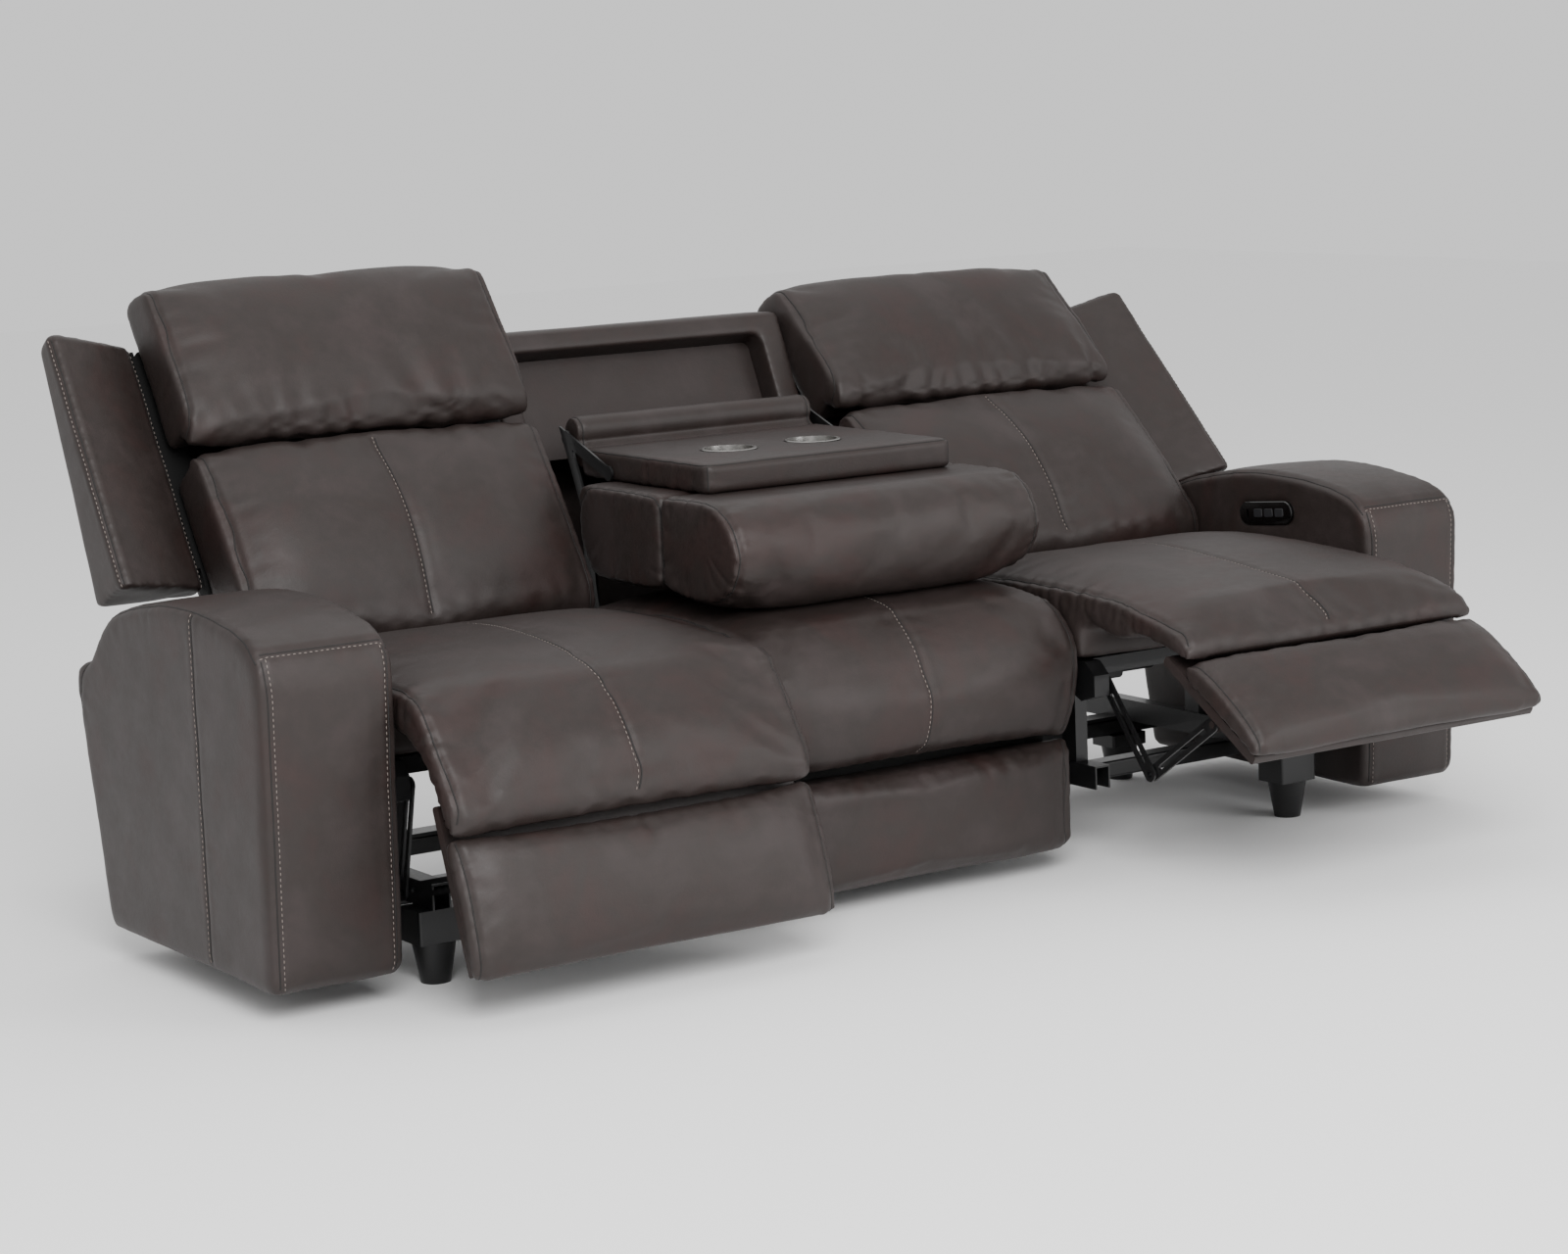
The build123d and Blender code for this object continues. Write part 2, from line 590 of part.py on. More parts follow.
def links(hand):
    """Two folding link pairs: one from the seat frame, one from the footrest bracket, meeting at elbows."""
    side = SIDES[hand]
    top, elbow, end = link_points(hand)
    inner, outer = SEAT_INNER + 10 + FRAME_TUBE, SEAT_OUTER - 10 - FRAME_TUBE
    hole = LINK_PIN + PIVOT_PLAY
    for name, start, step in (("link_rear", top, LINK_STEP), ("link_front", end, 2 * LINK_STEP)):
        with BuildPart() as pair:
            for x in (inner + step, outer - step - LINK_THICK):
                with BuildSketch(across(low(side, x, x + LINK_THICK))):
                    link_bar(start, elbow, hole, LINK_PIN)
                extrude(amount=LINK_THICK)
            if name == "link_front":
                reach = LINK_STEP - LINK_THICK - FIT
                for x, washer in ((inner + step, -reach), (outer - step, reach)):
                    with BuildSketch(across(low(side, x, x + washer))):
                        with Locations(elbow):
                            Circle(10)
                            Circle(LINK_PIN, mode=Mode.SUBTRACT)
                    extrude(amount=abs(washer))
        keep(f"{name}_{hand}", pair)


# ---------------------------------------------------------------- backs of the reclining seats
BACK_FACE = -100.0  # front seam plane of the back cushion, from the pivot
BACK_RING = (6.0, 32.0)  # front and rear of the steel back frame
RING_WIDTH = 40.0
RING_BOTTOM, RING_TOP = 60.0, 640.0
CUSHION_BOTTOM, CUSHION_TOP = 60.0, 410.0
HEADREST_BOTTOM, HEADREST_TOP = 448.0, 706.0
LUMBAR_CROWN = 26.0
WING_INNER, WING_OUTER = SEAT_OUTER + 5.0, HALF_WIDTH - 45.0
WING_TOP = 655.0
WING_ROUND = 12.0
# Lower edge of the wing, clear of the arm in all leans.
WING_FOOT = [(-90, 200), (-60, 213), (-20, 221), (30, 225), (70, 247)]
WING_FRONT_OUTER, WING_FRONT_INNER = -74.0, -2.0
COVER_FACES = (33.0, 52.0)
COVER_BOTTOM, COVER_SHOULDER, COVER_TOP = -23.0, 470.0, 690.0


def back_plane(hand, x):
    """Plane across the sofa in the back's own frame: local x backwards, local y up along the back."""
    return across(x, BACK_PIVOT[0] + carriage_shift(hand), BACK_PIVOT[1], BACK_LEAN[hand])


def back_level(hand, height, backwards=0.0):
    """Plane square to the back at a height along it: local x along the sofa, local y backwards."""
    a = radians(BACK_LEAN[hand])
    y = BACK_PIVOT[0] + carriage_shift(hand) + height * sin(a) + backwards * cos(a)
    z = BACK_PIVOT[1] + height * cos(a) - backwards * sin(a)
    return Plane(origin=(0, y, z), x_dir=(1, 0, 0), z_dir=(0, sin(a), cos(a)))


def back_sheet(hand, backwards):
    """Plane along the back, facing the seat: local x along the sofa, local y up the back."""
    a = radians(BACK_LEAN[hand])
    y = BACK_PIVOT[0] + carriage_shift(hand) + backwards * cos(a)
    z = BACK_PIVOT[1] - backwards * sin(a)
    return Plane(origin=(0, y, z), x_dir=(1, 0, 0), z_dir=(0, -cos(a), sin(a)))


def back_frame(hand):
    """Steel ring frame of the back with its pivot legs, wing tabs, and the shaft the headrest turns on."""
    side = SIDES[hand]
    inner, outer = SEAT_INNER + 8, SEAT_OUTER
    front, rear = BACK_RING
    legs = (inner + 2 + FRAME_TUBE + 4, outer - 10 - FRAME_TUBE - 4 - LOBE_THICK)
    shaft_back, shaft_up = HEADREST_PIVOT
    middle = side * (inner + outer) / 2
    with BuildPart() as frame:
        with BuildSketch(back_sheet(hand, rear)):
            with Locations((middle, (RING_BOTTOM + RING_TOP) / 2)):
                RectangleRounded(outer - inner, RING_TOP - RING_BOTTOM, 12)
                RectangleRounded(
                    outer - inner - 2 * RING_WIDTH,
                    RING_TOP - RING_BOTTOM - 2 * RING_WIDTH,
                    12,
                    mode=Mode.SUBTRACT,
                )
            with Locations((middle, 250), (middle, shaft_up)):
                Rectangle(outer - inner - RING_WIDTH, 34)
            with Locations((side * (SEAT_OUTER + WING_INNER) / 2, (RING_TOP + 260) / 2)):
                Rectangle(WING_INNER - SEAT_OUTER, RING_TOP - 260)
        extrude(amount=rear - front)
        for start in legs:
            with BuildSketch(back_plane(hand, low(side, start, start + LOBE_THICK))):
                Circle(LOBE_RADIUS)
                with BuildLine():
                    Polyline(
                        (-16, 0),
                        (-8, RING_BOTTOM - 22),
                        (front + 1, RING_BOTTOM - 6),
                        (front + 1, RING_BOTTOM + 20),
                        (rear - 1, RING_BOTTOM + 20),
                        (22, 0),
                        close=True,
                    )
                make_face()
            extrude(amount=LOBE_THICK)
        for start, grow in ((legs[0], -1), (legs[1] + LOBE_THICK, 1)):
            length = LOBE_THICK + 6
            with BuildSketch(back_plane(hand, low(side, start, start + grow * length))):
                Circle(BACK_PIN)
            extrude(amount=length)
        for x in (inner + 90, outer - 94):
            with BuildSketch(back_plane(hand, low(side, x, x + 4))):
                with Locations((shaft_back, shaft_up)):
                    Circle(13)
                with Locations(((shaft_back + front + 1) / 2, shaft_up)):
                    Rectangle(front + 1 - shaft_back, 22)
            extrude(amount=4)
        with BuildSketch(back_plane(hand, low(side, inner + 86, outer - 86))):
            with Locations((shaft_back, shaft_up)):
                Circle(6)
        extrude(amount=outer - inner - 172)
    keep(f"back_frame_{hand}", frame)


def back_cushion(hand):
    """Back cushion with a lumbar crown, rolled in at its top under the headrest."""
    side = SIDES[hand]
    rear = BACK_RING[0] - FIT
    with BuildPart() as cushion:
        for x, full in stations(side, SEAT_INNER, SEAT_OUTER):
            draw = SIDE_DRAW * (1 - full)
            face = BACK_FACE + draw
            lumbar = face - 6 - LUMBAR_CROWN * full
            with BuildSketch(back_plane(hand, x)):
                with BuildLine():
                    ThreePointArc(
                        (-74, CUSHION_BOTTOM + draw),
                        (face + 5, CUSHION_BOTTOM + 14 + draw),
                        (face - 8, CUSHION_BOTTOM + 50),
                    )
                    ThreePointArc((face - 8, CUSHION_BOTTOM + 50), (lumbar, 210), (face, CUSHION_TOP - 20))
                    ThreePointArc(
                        (face, CUSHION_TOP - 20),
                        (face + 8, CUSHION_TOP - 2 - draw),
                        (-68, CUSHION_TOP + 8 - draw),
                    )
                    Polyline(
                        (-68, CUSHION_TOP + 8 - draw),
                        (-60, CUSHION_TOP - draw),
                        (rear, CUSHION_TOP - draw),
                        (rear, CUSHION_BOTTOM + draw),
                        (-74, CUSHION_BOTTOM + draw),
                    )
                make_face()
        loft()
    keep(f"back_cushion_{hand}", cushion)


def headrest(hand):
    """Headrest cushion, and the steel bracket that carries it on the shaft."""
    side = SIDES[hand]
    rear = -2.0
    with BuildPart() as cushion:
        for x, full in stations(side, SEAT_INNER, SEAT_OUTER):
            draw = SIDE_DRAW * (1 - full)
            face = BACK_FACE - 4 + draw
            belly = face - 14 * full
            top = HEADREST_TOP - draw + 10 * full
            with BuildSketch(back_plane(hand, x)):
                with BuildLine():
                    ThreePointArc((-68, 442 + draw), (face + 8, 446 + draw), (face - 4 * full, 472))
                    ThreePointArc((face - 4 * full, 472), (belly, 580), (face + 4, HEADREST_TOP - 16))
                    ThreePointArc((face + 4, HEADREST_TOP - 16), (-62, top + 6), (rear - 18, top + 14))
                    ThreePointArc((rear - 18, top + 14), (rear - 4, top + 9), (rear, top - 6))
                    Polyline(
                        (rear, top - 6),
                        (rear, HEADREST_BOTTOM + draw),
                        (-60, HEADREST_BOTTOM + draw),
                        (-68, 442 + draw),
                    )
                make_face()
        loft()
    keep(f"headrest_cushion_{hand}", cushion)

    inner, outer = SEAT_INNER + 8, SEAT_OUTER
    shaft_back, shaft_up = HEADREST_PIVOT
    width = outer - inner - 200
    with BuildPart() as bracket:
        with BuildSketch(back_sheet(hand, 4.0)):
            with Locations((side * (inner + outer) / 2, 550)):
                Rectangle(width, 180)
                Rectangle(width - 80, 110, mode=Mode.SUBTRACT)
        extrude(amount=4.0 - rear - FIT)
        for x in (inner + 100, outer - 104):
            with BuildSketch(back_plane(hand, low(side, x, x + 4))):
                with BuildLine():
                    Polyline(
                        (shaft_back, shaft_up + 12),
                        (rear + FIT - 6, shaft_up + 16),
                        (rear + FIT, HEADREST_BOTTOM),
                        (rear + FIT, 480),
                        (4, 480),
                        (4, shaft_up - 4),
                        (shaft_back, shaft_up - 12),
                        close=True,
                    )
                make_face()
                with Locations((shaft_back, shaft_up)):
                    Circle(12)
                    Circle(6 + PIVOT_PLAY, mode=Mode.SUBTRACT)
            extrude(amount=4)
    keep(f"headrest_bracket_{hand}", bracket)


def wing(hand):
    """Padded wing beside the back, its front angled in towards the seat, cut to clear the arm."""
    side = SIDES[hand]
    shoulder = WING_TOP - WING_ROUND
    sections = []
    for height, draw, slim in ((170.0, 0.0, 0.0), (shoulder, 0.0, 1.0), (WING_TOP, WING_ROUND, 1.0)):
        outline = [
            (WING_INNER + draw, WING_FRONT_INNER + draw),
            (WING_OUTER - 3 * slim - draw, WING_FRONT_OUTER + 1.6 * draw),
            (WING_OUTER - 6 * slim - draw, 58 - 70 * slim - draw),
            (WING_INNER + draw, 44 - 4 * slim - draw),
        ]
        sections.append((height, outline))
    with BuildPart() as padding:
        for height, outline in sections:
            with BuildSketch(back_level(hand, height)) as section:
                with BuildLine():
                    Polyline(*[(side * x, y) for x, y in outline], close=True)
                make_face()
                fillet(section.vertices().filter_by(lambda v: abs(v.X) > WING_INNER + 40), WING_ROUND)
        loft(ruled=True)
        with BuildSketch(back_plane(hand, low(side, WING_INNER - 1, WING_OUTER + 1))):
            with BuildLine():
                Polyline((-90, 160), *WING_FOOT, (70, 160), close=True)
            make_face()
        extrude(amount=WING_OUTER - WING_INNER + 2, mode=Mode.SUBTRACT)
    keep(f"wing_{hand}", padding)


def back_cover(hand):
    """Padded outer cover of the back, narrower behind the headrest."""
    side = SIDES[hand]
    front, rear = COVER_FACES
    inner, outer = SEAT_INNER + 6, SEAT_OUTER
    with BuildPart() as cover:
        with BuildSketch(back_sheet(hand, rear)):
            with BuildLine():
                Polyline(
                    (side * inner, COVER_BOTTOM),
                    (side * outer, COVER_BOTTOM),
                    (side * outer, COVER_SHOULDER),
                    (side * (outer - 40), COVER_TOP),
                    (side * (inner + 36), COVER_TOP),
                    (side * inner, COVER_SHOULDER),
                    close=True,
                )
            make_face()
        extrude(amount=rear - front)
        fillet(cover.faces().sort_by(Axis.Y)[-1].edges(), 8)
    keep(f"back_cover_{hand}", cover)


# ---------------------------------------------------------------- middle seat
DECK_TOP = 336.0
DECK_FRONT, DECK_REAR, DECK_BOARD = 80.0, 822.0, 12.0
MIDDLE_FRONT = -14.0
MIDDLE_SEAM = 216.0
MIDDLE_BOTTOM = 32.0


def middle_seat():
    """Fixed middle seat: wooden deck box, cushion with a rolled front, and the padded lower panel."""
    half = MIDDLE_HALF
    with BuildPart() as deck:
        with BuildSketch(Plane.XY.offset(RAIL_TOP)):
            with Locations((0, (DECK_FRONT + DECK_REAR) / 2)):
                Rectangle(2 * half - 20, DECK_REAR - DECK_FRONT)
                Rectangle(2 * half - 60, DECK_REAR - DECK_FRONT - 40, mode=Mode.SUBTRACT)
        extrude(amount=DECK_TOP - RAIL_TOP - DECK_BOARD)
        with BuildSketch(Plane.XY.offset(DECK_TOP - DECK_BOARD)):
            with Locations((0, (DECK_FRONT + DECK_REAR) / 2)):
                Rectangle(2 * half - 20, DECK_REAR - DECK_FRONT)
        extrude(amount=DECK_BOARD)
    keep("middle_deck", deck)

    with BuildPart() as cushion:
        for x, full in stations(1, -half, half):
            draw = SIDE_DRAW * (1 - full)
            top = SEAT_TOP - draw + (SEAT_CROWN - 6) * full
            front = MIDDLE_FRONT + draw
            with BuildSketch(across(x)):
                with BuildLine():
                    ThreePointArc((80, SEAT_TOP - 8 - draw), (290, top), (500, SEAT_TOP - 6 - draw))
                    ThreePointArc(
                        (front, 368), (front + 26, SEAT_TOP - 40 - draw), (80, SEAT_TOP - 8 - draw)
                    )
                    ThreePointArc((24 + draw, MIDDLE_SEAM + 3), (front + 4 - 5 * full, 290), (front, 368))
                    Polyline(
                        (24 + draw, MIDDLE_SEAM + 3),
                        (68, MIDDLE_SEAM + 3),
                        (68, DECK_TOP + FIT),
                        (500, DECK_TOP + FIT),
                        (500, SEAT_TOP - 6 - draw),
                    )
                make_face()
        loft()
    keep("middle_cushion", cushion)

    with BuildPart() as panel:
        for x, full in stations(1, -half, half):
            draw = SIDE_DRAW * (1 - full)
            front = 16 + draw - 14 * full
            with BuildSketch(across(x)):
                with BuildLine():
                    ThreePointArc((26 + draw, MIDDLE_SEAM - 3), (front, 196), (front, 170))
                    Line((front, 170), (front, 66))
                    ThreePointArc((front, 66), (front + 8, 40), (52, MIDDLE_BOTTOM + draw * 0.5))
                    Polyline(
                        (52, MIDDLE_BOTTOM + draw * 0.5),
                        (80 - FIT, MIDDLE_BOTTOM + draw * 0.5),
                        (80 - FIT, MIDDLE_SEAM - 3 - draw),
                        (26 + draw, MIDDLE_SEAM - 3),
                    )
                make_face()
        loft()
    keep("middle_front_panel", panel)


# ---------------------------------------------------------------- middle back with its folding table
RECESS_HALF = MIDDLE_HALF - 50.333
SURROUND_FRONT = 92.0  # front of the padded surround, behind the console pivot, square to the back
SURROUND_TOP = 387.0
RAIL_FACE = 36.0
LINING_FACE, LINING_THICK = 140.0, 10.0
LINING_BOTTOM = 174.0
BOARD_HALF = RECESS_HALF - 16.0
BOARD_LOW, BOARD_HIGH = 90.0, 137.0  # table board's lower and upper face above the pivot, folded down
BOARD_FRONT, BOARD_REAR = 345.0, -37.0  # in front of the pivot
CUP_RADIUS, CUP_DEPTH, CUP_WALL = 41.0, 40.0, 1.2
CUP_PLACES = ((-81.0, 398.0), (81.0, 398.0))
CONSOLE_HALF = MIDDLE_HALF - 10.333
END_ROLL_RADIUS = 24.0
HINGE_PLATE = 4.0
ARM_PLANE = BOARD_HALF + 2.0
BRACKET_PLANE = ARM_PLANE + HINGE_PLATE + 2.0


def upright(x=0.0):
    """Plane across the sofa at the console pivot, leaned like the upright back."""
    return across(x, CONSOLE_PIVOT[0], CONSOLE_PIVOT[1], BACK_UPRIGHT)


def upright_sheet(backwards):
    """Plane along the upright middle back, facing the seat."""
    a = radians(BACK_UPRIGHT)
    y = CONSOLE_PIVOT[0] + backwards * cos(a)
    z = CONSOLE_PIVOT[1] - backwards * sin(a)
    return Plane(origin=(0, y, z), x_dir=(1, 0, 0), z_dir=(0, -cos(a), sin(a)))


def middle_back():
    """Fixed surround of the recess: two padded side walls and top rail, lining, rear cover, hinge brackets."""
    half = MIDDLE_HALF - 3
    rear_low, rear_top = 812.0, 912.0
    lean = radians(BACK_UPRIGHT)
    top_z = CONSOLE_PIVOT[1] + SURROUND_TOP * cos(lean) - SURROUND_FRONT * sin(lean)
    front_y = CONSOLE_PIVOT[0] + SURROUND_FRONT * cos(lean) + SURROUND_TOP * sin(lean)
    foot_z = DECK_TOP
    foot_y = front_y - (top_z - foot_z) * sin(lean) / cos(lean)
    outline = [(foot_y, foot_z), (front_y, top_z), (rear_top, top_z - 6), (rear_low, foot_z)]
    with BuildPart() as surround:
        with BuildSketch(across(-half)):
            with BuildLine():
                Polyline(*outline, close=True)
            make_face()
        extrude(amount=2 * half)
        with BuildSketch(upright_sheet(SURROUND_FRONT - 10)):
            with Locations((0, (SURROUND_TOP - RAIL_FACE - 400) / 2)):
                Rectangle(2 * RECESS_HALF, SURROUND_TOP - RAIL_FACE + 400)
        extrude(amount=-400, mode=Mode.SUBTRACT)
        fillet(surround.edges().filter_by(Axis.X).group_by(Axis.Z)[-1], 12)
    keep("middle_surround", surround)

    with BuildPart() as lining:
        with BuildSketch(upright_sheet(LINING_FACE + LINING_THICK)):
            with Locations((0, (LINING_BOTTOM + SURROUND_TOP - RAIL_FACE - FIT) / 2)):
                Rectangle(2 * RECESS_HALF - 2 * FIT, SURROUND_TOP - RAIL_FACE - FIT - LINING_BOTTOM)
        extrude(amount=LINING_THICK)
    keep("recess_lining", lining)

    slope = degrees(atan2(rear_top - rear_low, top_z - 6 - foot_z))
    rear_height = hypot(rear_top - rear_low, top_z - 6 - foot_z) - 20
    with BuildPart() as cover:
        with BuildSketch(across(-half, rear_low, foot_z, slope)):
            with Locations((6, rear_height / 2 + 3)):
                Rectangle(12, rear_height)
        extrude(amount=2 * half)
        fillet(cover.edges().filter_by(Axis.X).group_by(Axis.Y)[-1], 5)
    keep("middle_rear_cover", cover)

    pivot_y, pivot_z = CONSOLE_PIVOT
    with BuildPart() as brackets:
        for side in SIDES.values():
            with BuildSketch(across(low(side, BRACKET_PLANE, BRACKET_PLANE + HINGE_PLATE))):
                with BuildLine():
                    Polyline(
                        (pivot_y - 8, pivot_z - 16),
                        (pivot_y - 16, DECK_TOP + 130),
                        (530, DECK_TOP),
                        (580, DECK_TOP),
                        (pivot_y + 20, pivot_z),
                        close=True,
                    )
                make_face()
                with Locations((pivot_y, pivot_z)):
                    Circle(20)
            extrude(amount=HINGE_PLATE)
            with BuildSketch(Plane.XY.offset(DECK_TOP)):
                with Locations((side * (BRACKET_PLANE + 14), 549)):
                    Rectangle(28, 46)
            extrude(amount=4)
            pin_start = low(side, ARM_PLANE - 1, BRACKET_PLANE)
            with BuildSketch(across(pin_start)):
                with Locations((pivot_y, pivot_z)):
                    Circle(8)
            extrude(amount=BRACKET_PLANE - ARM_PLANE + 1)
    keep("hinge_brackets", brackets)


def console():
    """Folding middle back, lying down as a table: board, cup holders, cushions, end roll, hinge arms."""
    pivot_y, pivot_z = CONSOLE_PIVOT
    under, over = pivot_z + BOARD_LOW, pivot_z + BOARD_HIGH
    front, rear = pivot_y - BOARD_FRONT, pivot_y - BOARD_REAR
    with BuildPart() as board:
        with BuildSketch(Plane.XY.offset(under)):
            with Locations((0, (front + rear) / 2)):
                Rectangle(2 * BOARD_HALF, rear - front)
        extrude(amount=over - under)
        fillet(board.edges().filter_by(Axis.Z), 8)
        fillet(board.faces().sort_by(Axis.Z)[-1].edges(), 3)
        with BuildSketch(Plane.XY.offset(over)):
            with Locations(*CUP_PLACES):
                Circle(CUP_RADIUS + FIT)
        extrude(amount=-CUP_DEPTH - CUP_WALL, mode=Mode.SUBTRACT)
    keep("table_board", board)

    with BuildPart() as cups:
        for x, y in CUP_PLACES:
            with BuildSketch(Plane(origin=(x, y, over), x_dir=(1, 0, 0), z_dir=(0, -1, 0))):
                with BuildLine():
                    Polyline(
                        (0, -CUP_DEPTH - CUP_WALL),
                        (CUP_RADIUS - 2, -CUP_DEPTH - CUP_WALL),
                        (CUP_RADIUS, 0),
                        (CUP_RADIUS + 5, 0),
                        (CUP_RADIUS + 4, CUP_WALL),
                        (CUP_RADIUS - CUP_WALL, CUP_WALL),
                        (CUP_RADIUS - 2 - CUP_WALL, -CUP_DEPTH),
                        (0, -CUP_DEPTH),
                        close=True,
                    )
                make_face()
            revolve(axis=Axis((x, y, 0), (0, 0, 1)))
    keep("cup_holders", cups)

    cushion_top = under - FIT
    with BuildPart() as lumbar:
        for x, full in stations(1, -CONSOLE_HALF, CONSOLE_HALF, 50.0):
            draw = 8 * (1 - full)
            with BuildSketch(across(x)):
                with BuildLine():
                    Polyline((282, 490 + draw), (282, cushion_top), (526 - draw, cushion_top))
                    ThreePointArc((526 - draw, cushion_top), (534 - draw, 560), (500 - draw, 490 + draw))
                    ThreePointArc((500 - draw, 490 + draw), (390, 484 + draw), (282, 490 + draw))
                make_face()
        loft()
    keep("console_cushion", lumbar)

    with BuildPart() as roll:
        for x, full in stations(1, -CONSOLE_HALF, CONSOLE_HALF, 50.0):
            draw = 10 * (1 - full)
            with BuildSketch(across(x)):
                with BuildLine():
                    Line((280, cushion_top), (150, cushion_top))
                    ThreePointArc((150, cushion_top), (84 + draw, 622 - draw), (56 + draw, 560))
                    ThreePointArc((56 + draw, 560), (88 + draw, 496 + draw), (170, 477 + draw))
                    ThreePointArc((170, 477 + draw), (232, 479 + draw), (280, 490 + draw))
                    Line((280, 490 + draw), (280, cushion_top))
                make_face()
        loft()
    keep("console_head_roll", roll)

    with BuildPart() as end_roll:
        centre = (pivot_y + 69, over + END_ROLL_RADIUS + 1)
        rear_edge = pivot_y - BOARD_REAR
        with BuildSketch(across(-BOARD_HALF + 4)):
            with Locations(centre):
                Circle(END_ROLL_RADIUS)
        extrude(amount=2 * BOARD_HALF - 8)
        fillet(end_roll.edges().filter_by(GeomType.CIRCLE), 6)
        with BuildSketch(across(-BOARD_HALF + 4)):
            with BuildLine():
                Polyline(
                    (rear_edge + FIT, over - 32),
                    (rear_edge + FIT, over - 2),
                    (centre[0] - 12, over + 8),
                    (centre[0] + 10, over + 6),
                    (rear_edge + 14, over - 32),
                    close=True,
                )
            make_face()
        extrude(amount=2 * BOARD_HALF - 8)
    keep("console_end_roll", end_roll)

    board_end, elbow = (pivot_y - 58, under + 13), (pivot_y + 72, under + 62)
    with BuildPart() as arms:
        for side in SIDES.values():
            with BuildSketch(across(low(side, ARM_PLANE, ARM_PLANE + HINGE_PLATE))):
                with BuildLine():
                    Polyline(board_end, elbow, CONSOLE_PIVOT)
                trace(line_width=20)
                with Locations(CONSOLE_PIVOT):
                    Circle(16)
                with Locations(board_end, elbow):
                    Circle(12)
                with Locations((pivot_y, pivot_z)):
                    Circle(8 + PIVOT_PLAY, mode=Mode.SUBTRACT)
            extrude(amount=HINGE_PLATE)
            with BuildSketch(across(low(side, BOARD_HALF, ARM_PLANE))):
                with Locations(board_end):
                    Circle(8)
            extrude(amount=ARM_PLANE - BOARD_HALF)
    keep("hinge_arms", arms)


# ---------------------------------------------------------------- whole sofa
for hand in SIDES:
    arm(hand)
    control_panel(hand)
    slide_base(hand)
    seat_frame(hand)
    seat_springs(hand)
    seat_cushion(hand)
    drive_unit(hand)
    chaise_flap(hand)
    footrest(hand)
    links(hand)
    back_frame(hand)
    back_cushion(hand)
    headrest(hand)
    wing(hand)
    back_cover(hand)
cross_rail("front_rail", FRONT_RAIL_Y)
cross_rail("rear_rail", REAR_RAIL_Y)
feet()
middle_seat()
middle_back()
console()

# The sofa stands on its feet at Z = 0, centred on its own footprint.
boxes = [part.bounding_box() for part in PARTS.values()]
CENTRE_Y = (min(box.min.Y for box in boxes) + max(box.max.Y for box in boxes)) / 2

os.makedirs("parts", exist_ok=True)
for name, part in PARTS.items():
    export_step(part.moved(Location((0, -CENTRE_Y, 0))), f"parts/{name}.step")
print(len(PARTS), "pieces, footprint centre at", round(CENTRE_Y, 6))
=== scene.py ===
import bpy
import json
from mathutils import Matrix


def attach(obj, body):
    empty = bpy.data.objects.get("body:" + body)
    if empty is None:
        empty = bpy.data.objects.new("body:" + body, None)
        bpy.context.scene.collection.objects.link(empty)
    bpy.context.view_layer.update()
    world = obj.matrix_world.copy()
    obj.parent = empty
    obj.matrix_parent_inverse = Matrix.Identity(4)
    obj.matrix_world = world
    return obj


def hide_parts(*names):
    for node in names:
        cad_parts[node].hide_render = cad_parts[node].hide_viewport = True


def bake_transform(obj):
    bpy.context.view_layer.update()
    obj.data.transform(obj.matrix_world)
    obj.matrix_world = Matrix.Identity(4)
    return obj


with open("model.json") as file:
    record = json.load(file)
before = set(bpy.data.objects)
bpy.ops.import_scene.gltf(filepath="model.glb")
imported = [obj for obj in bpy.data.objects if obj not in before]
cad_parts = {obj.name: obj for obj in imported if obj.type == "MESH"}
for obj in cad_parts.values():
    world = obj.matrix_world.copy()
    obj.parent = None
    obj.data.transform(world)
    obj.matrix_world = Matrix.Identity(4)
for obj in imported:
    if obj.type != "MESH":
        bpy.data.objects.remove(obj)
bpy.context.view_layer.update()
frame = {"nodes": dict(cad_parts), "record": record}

import json
import logging
import math
from dataclasses import dataclass, field
from enum import Enum

import bmesh
import bpy
import numpy as np
from mathutils import Matrix, Vector
from mathutils.bvhtree import BVHTree
from mathutils.kdtree import KDTree

log = logging.getLogger("sofa")

MM = 0.001
SHIFT_Y = -249.979806  # the arm-front plane to the middle of the sofa's footprint, in mm
SEAT_INNER, SEAT_OUTER = 306.333, 907.0  # ends of a reclining seat, from the sofa's middle, in mm

Spot = tuple[float, float]
Line = list[Vector]
Region = list[tuple[Vector, Vector]]  # half spaces, each by a point and its inward normal
Mesh, Object, Material = bpy.types.Mesh, bpy.types.Object, bpy.types.Material
Tree, Node, Socket = bpy.types.NodeTree, bpy.types.Node, bpy.types.NodeSocket


class Hand(Enum):
    """The two ends of the sofa."""

    LEFT = -1
    RIGHT = 1

    @property
    def word(self) -> str:
        """Word used in names."""
        return self.name.lower()


# ------------------------------------------------------------------ frames across the sofa
@dataclass(frozen=True)
class CrossFrame:
    """A frame in the plane across the sofa, with its origin and two unit axes as (y, z) in mm."""

    origin: Spot
    first: Spot
    second: Spot

    def at(self, x: float, first: float, second: float) -> Vector:
        """Place of a point in metres, given by its x and its two coordinates in the frame, in mm."""
        y = self.origin[0] + first * self.first[0] + second * self.second[0]
        z = self.origin[1] + first * self.first[1] + second * self.second[1]
        return Vector((x * MM, (y + SHIFT_Y) * MM, z * MM))

    def path(self, x: float, spots: tuple[Spot, ...] | list[Spot]) -> Line:
        """Points at one x, given by their pairs of coordinates in the frame."""
        return [self.at(x, u, v) for u, v in spots]

    def span(self, ends: Spot, first: float, second: float) -> Line:
        """The two ends of a line along the sofa, given by their x."""
        return [self.at(x, first, second) for x in ends]

    @classmethod
    def hanging(cls, origin: Spot, angle: float) -> "CrossFrame":
        """Frame of a panel that hangs at an angle from straight down: along it, and out of its face."""
        s, c = math.sin(angle), math.cos(angle)
        return cls(origin, (-s, -c), (-c, s))


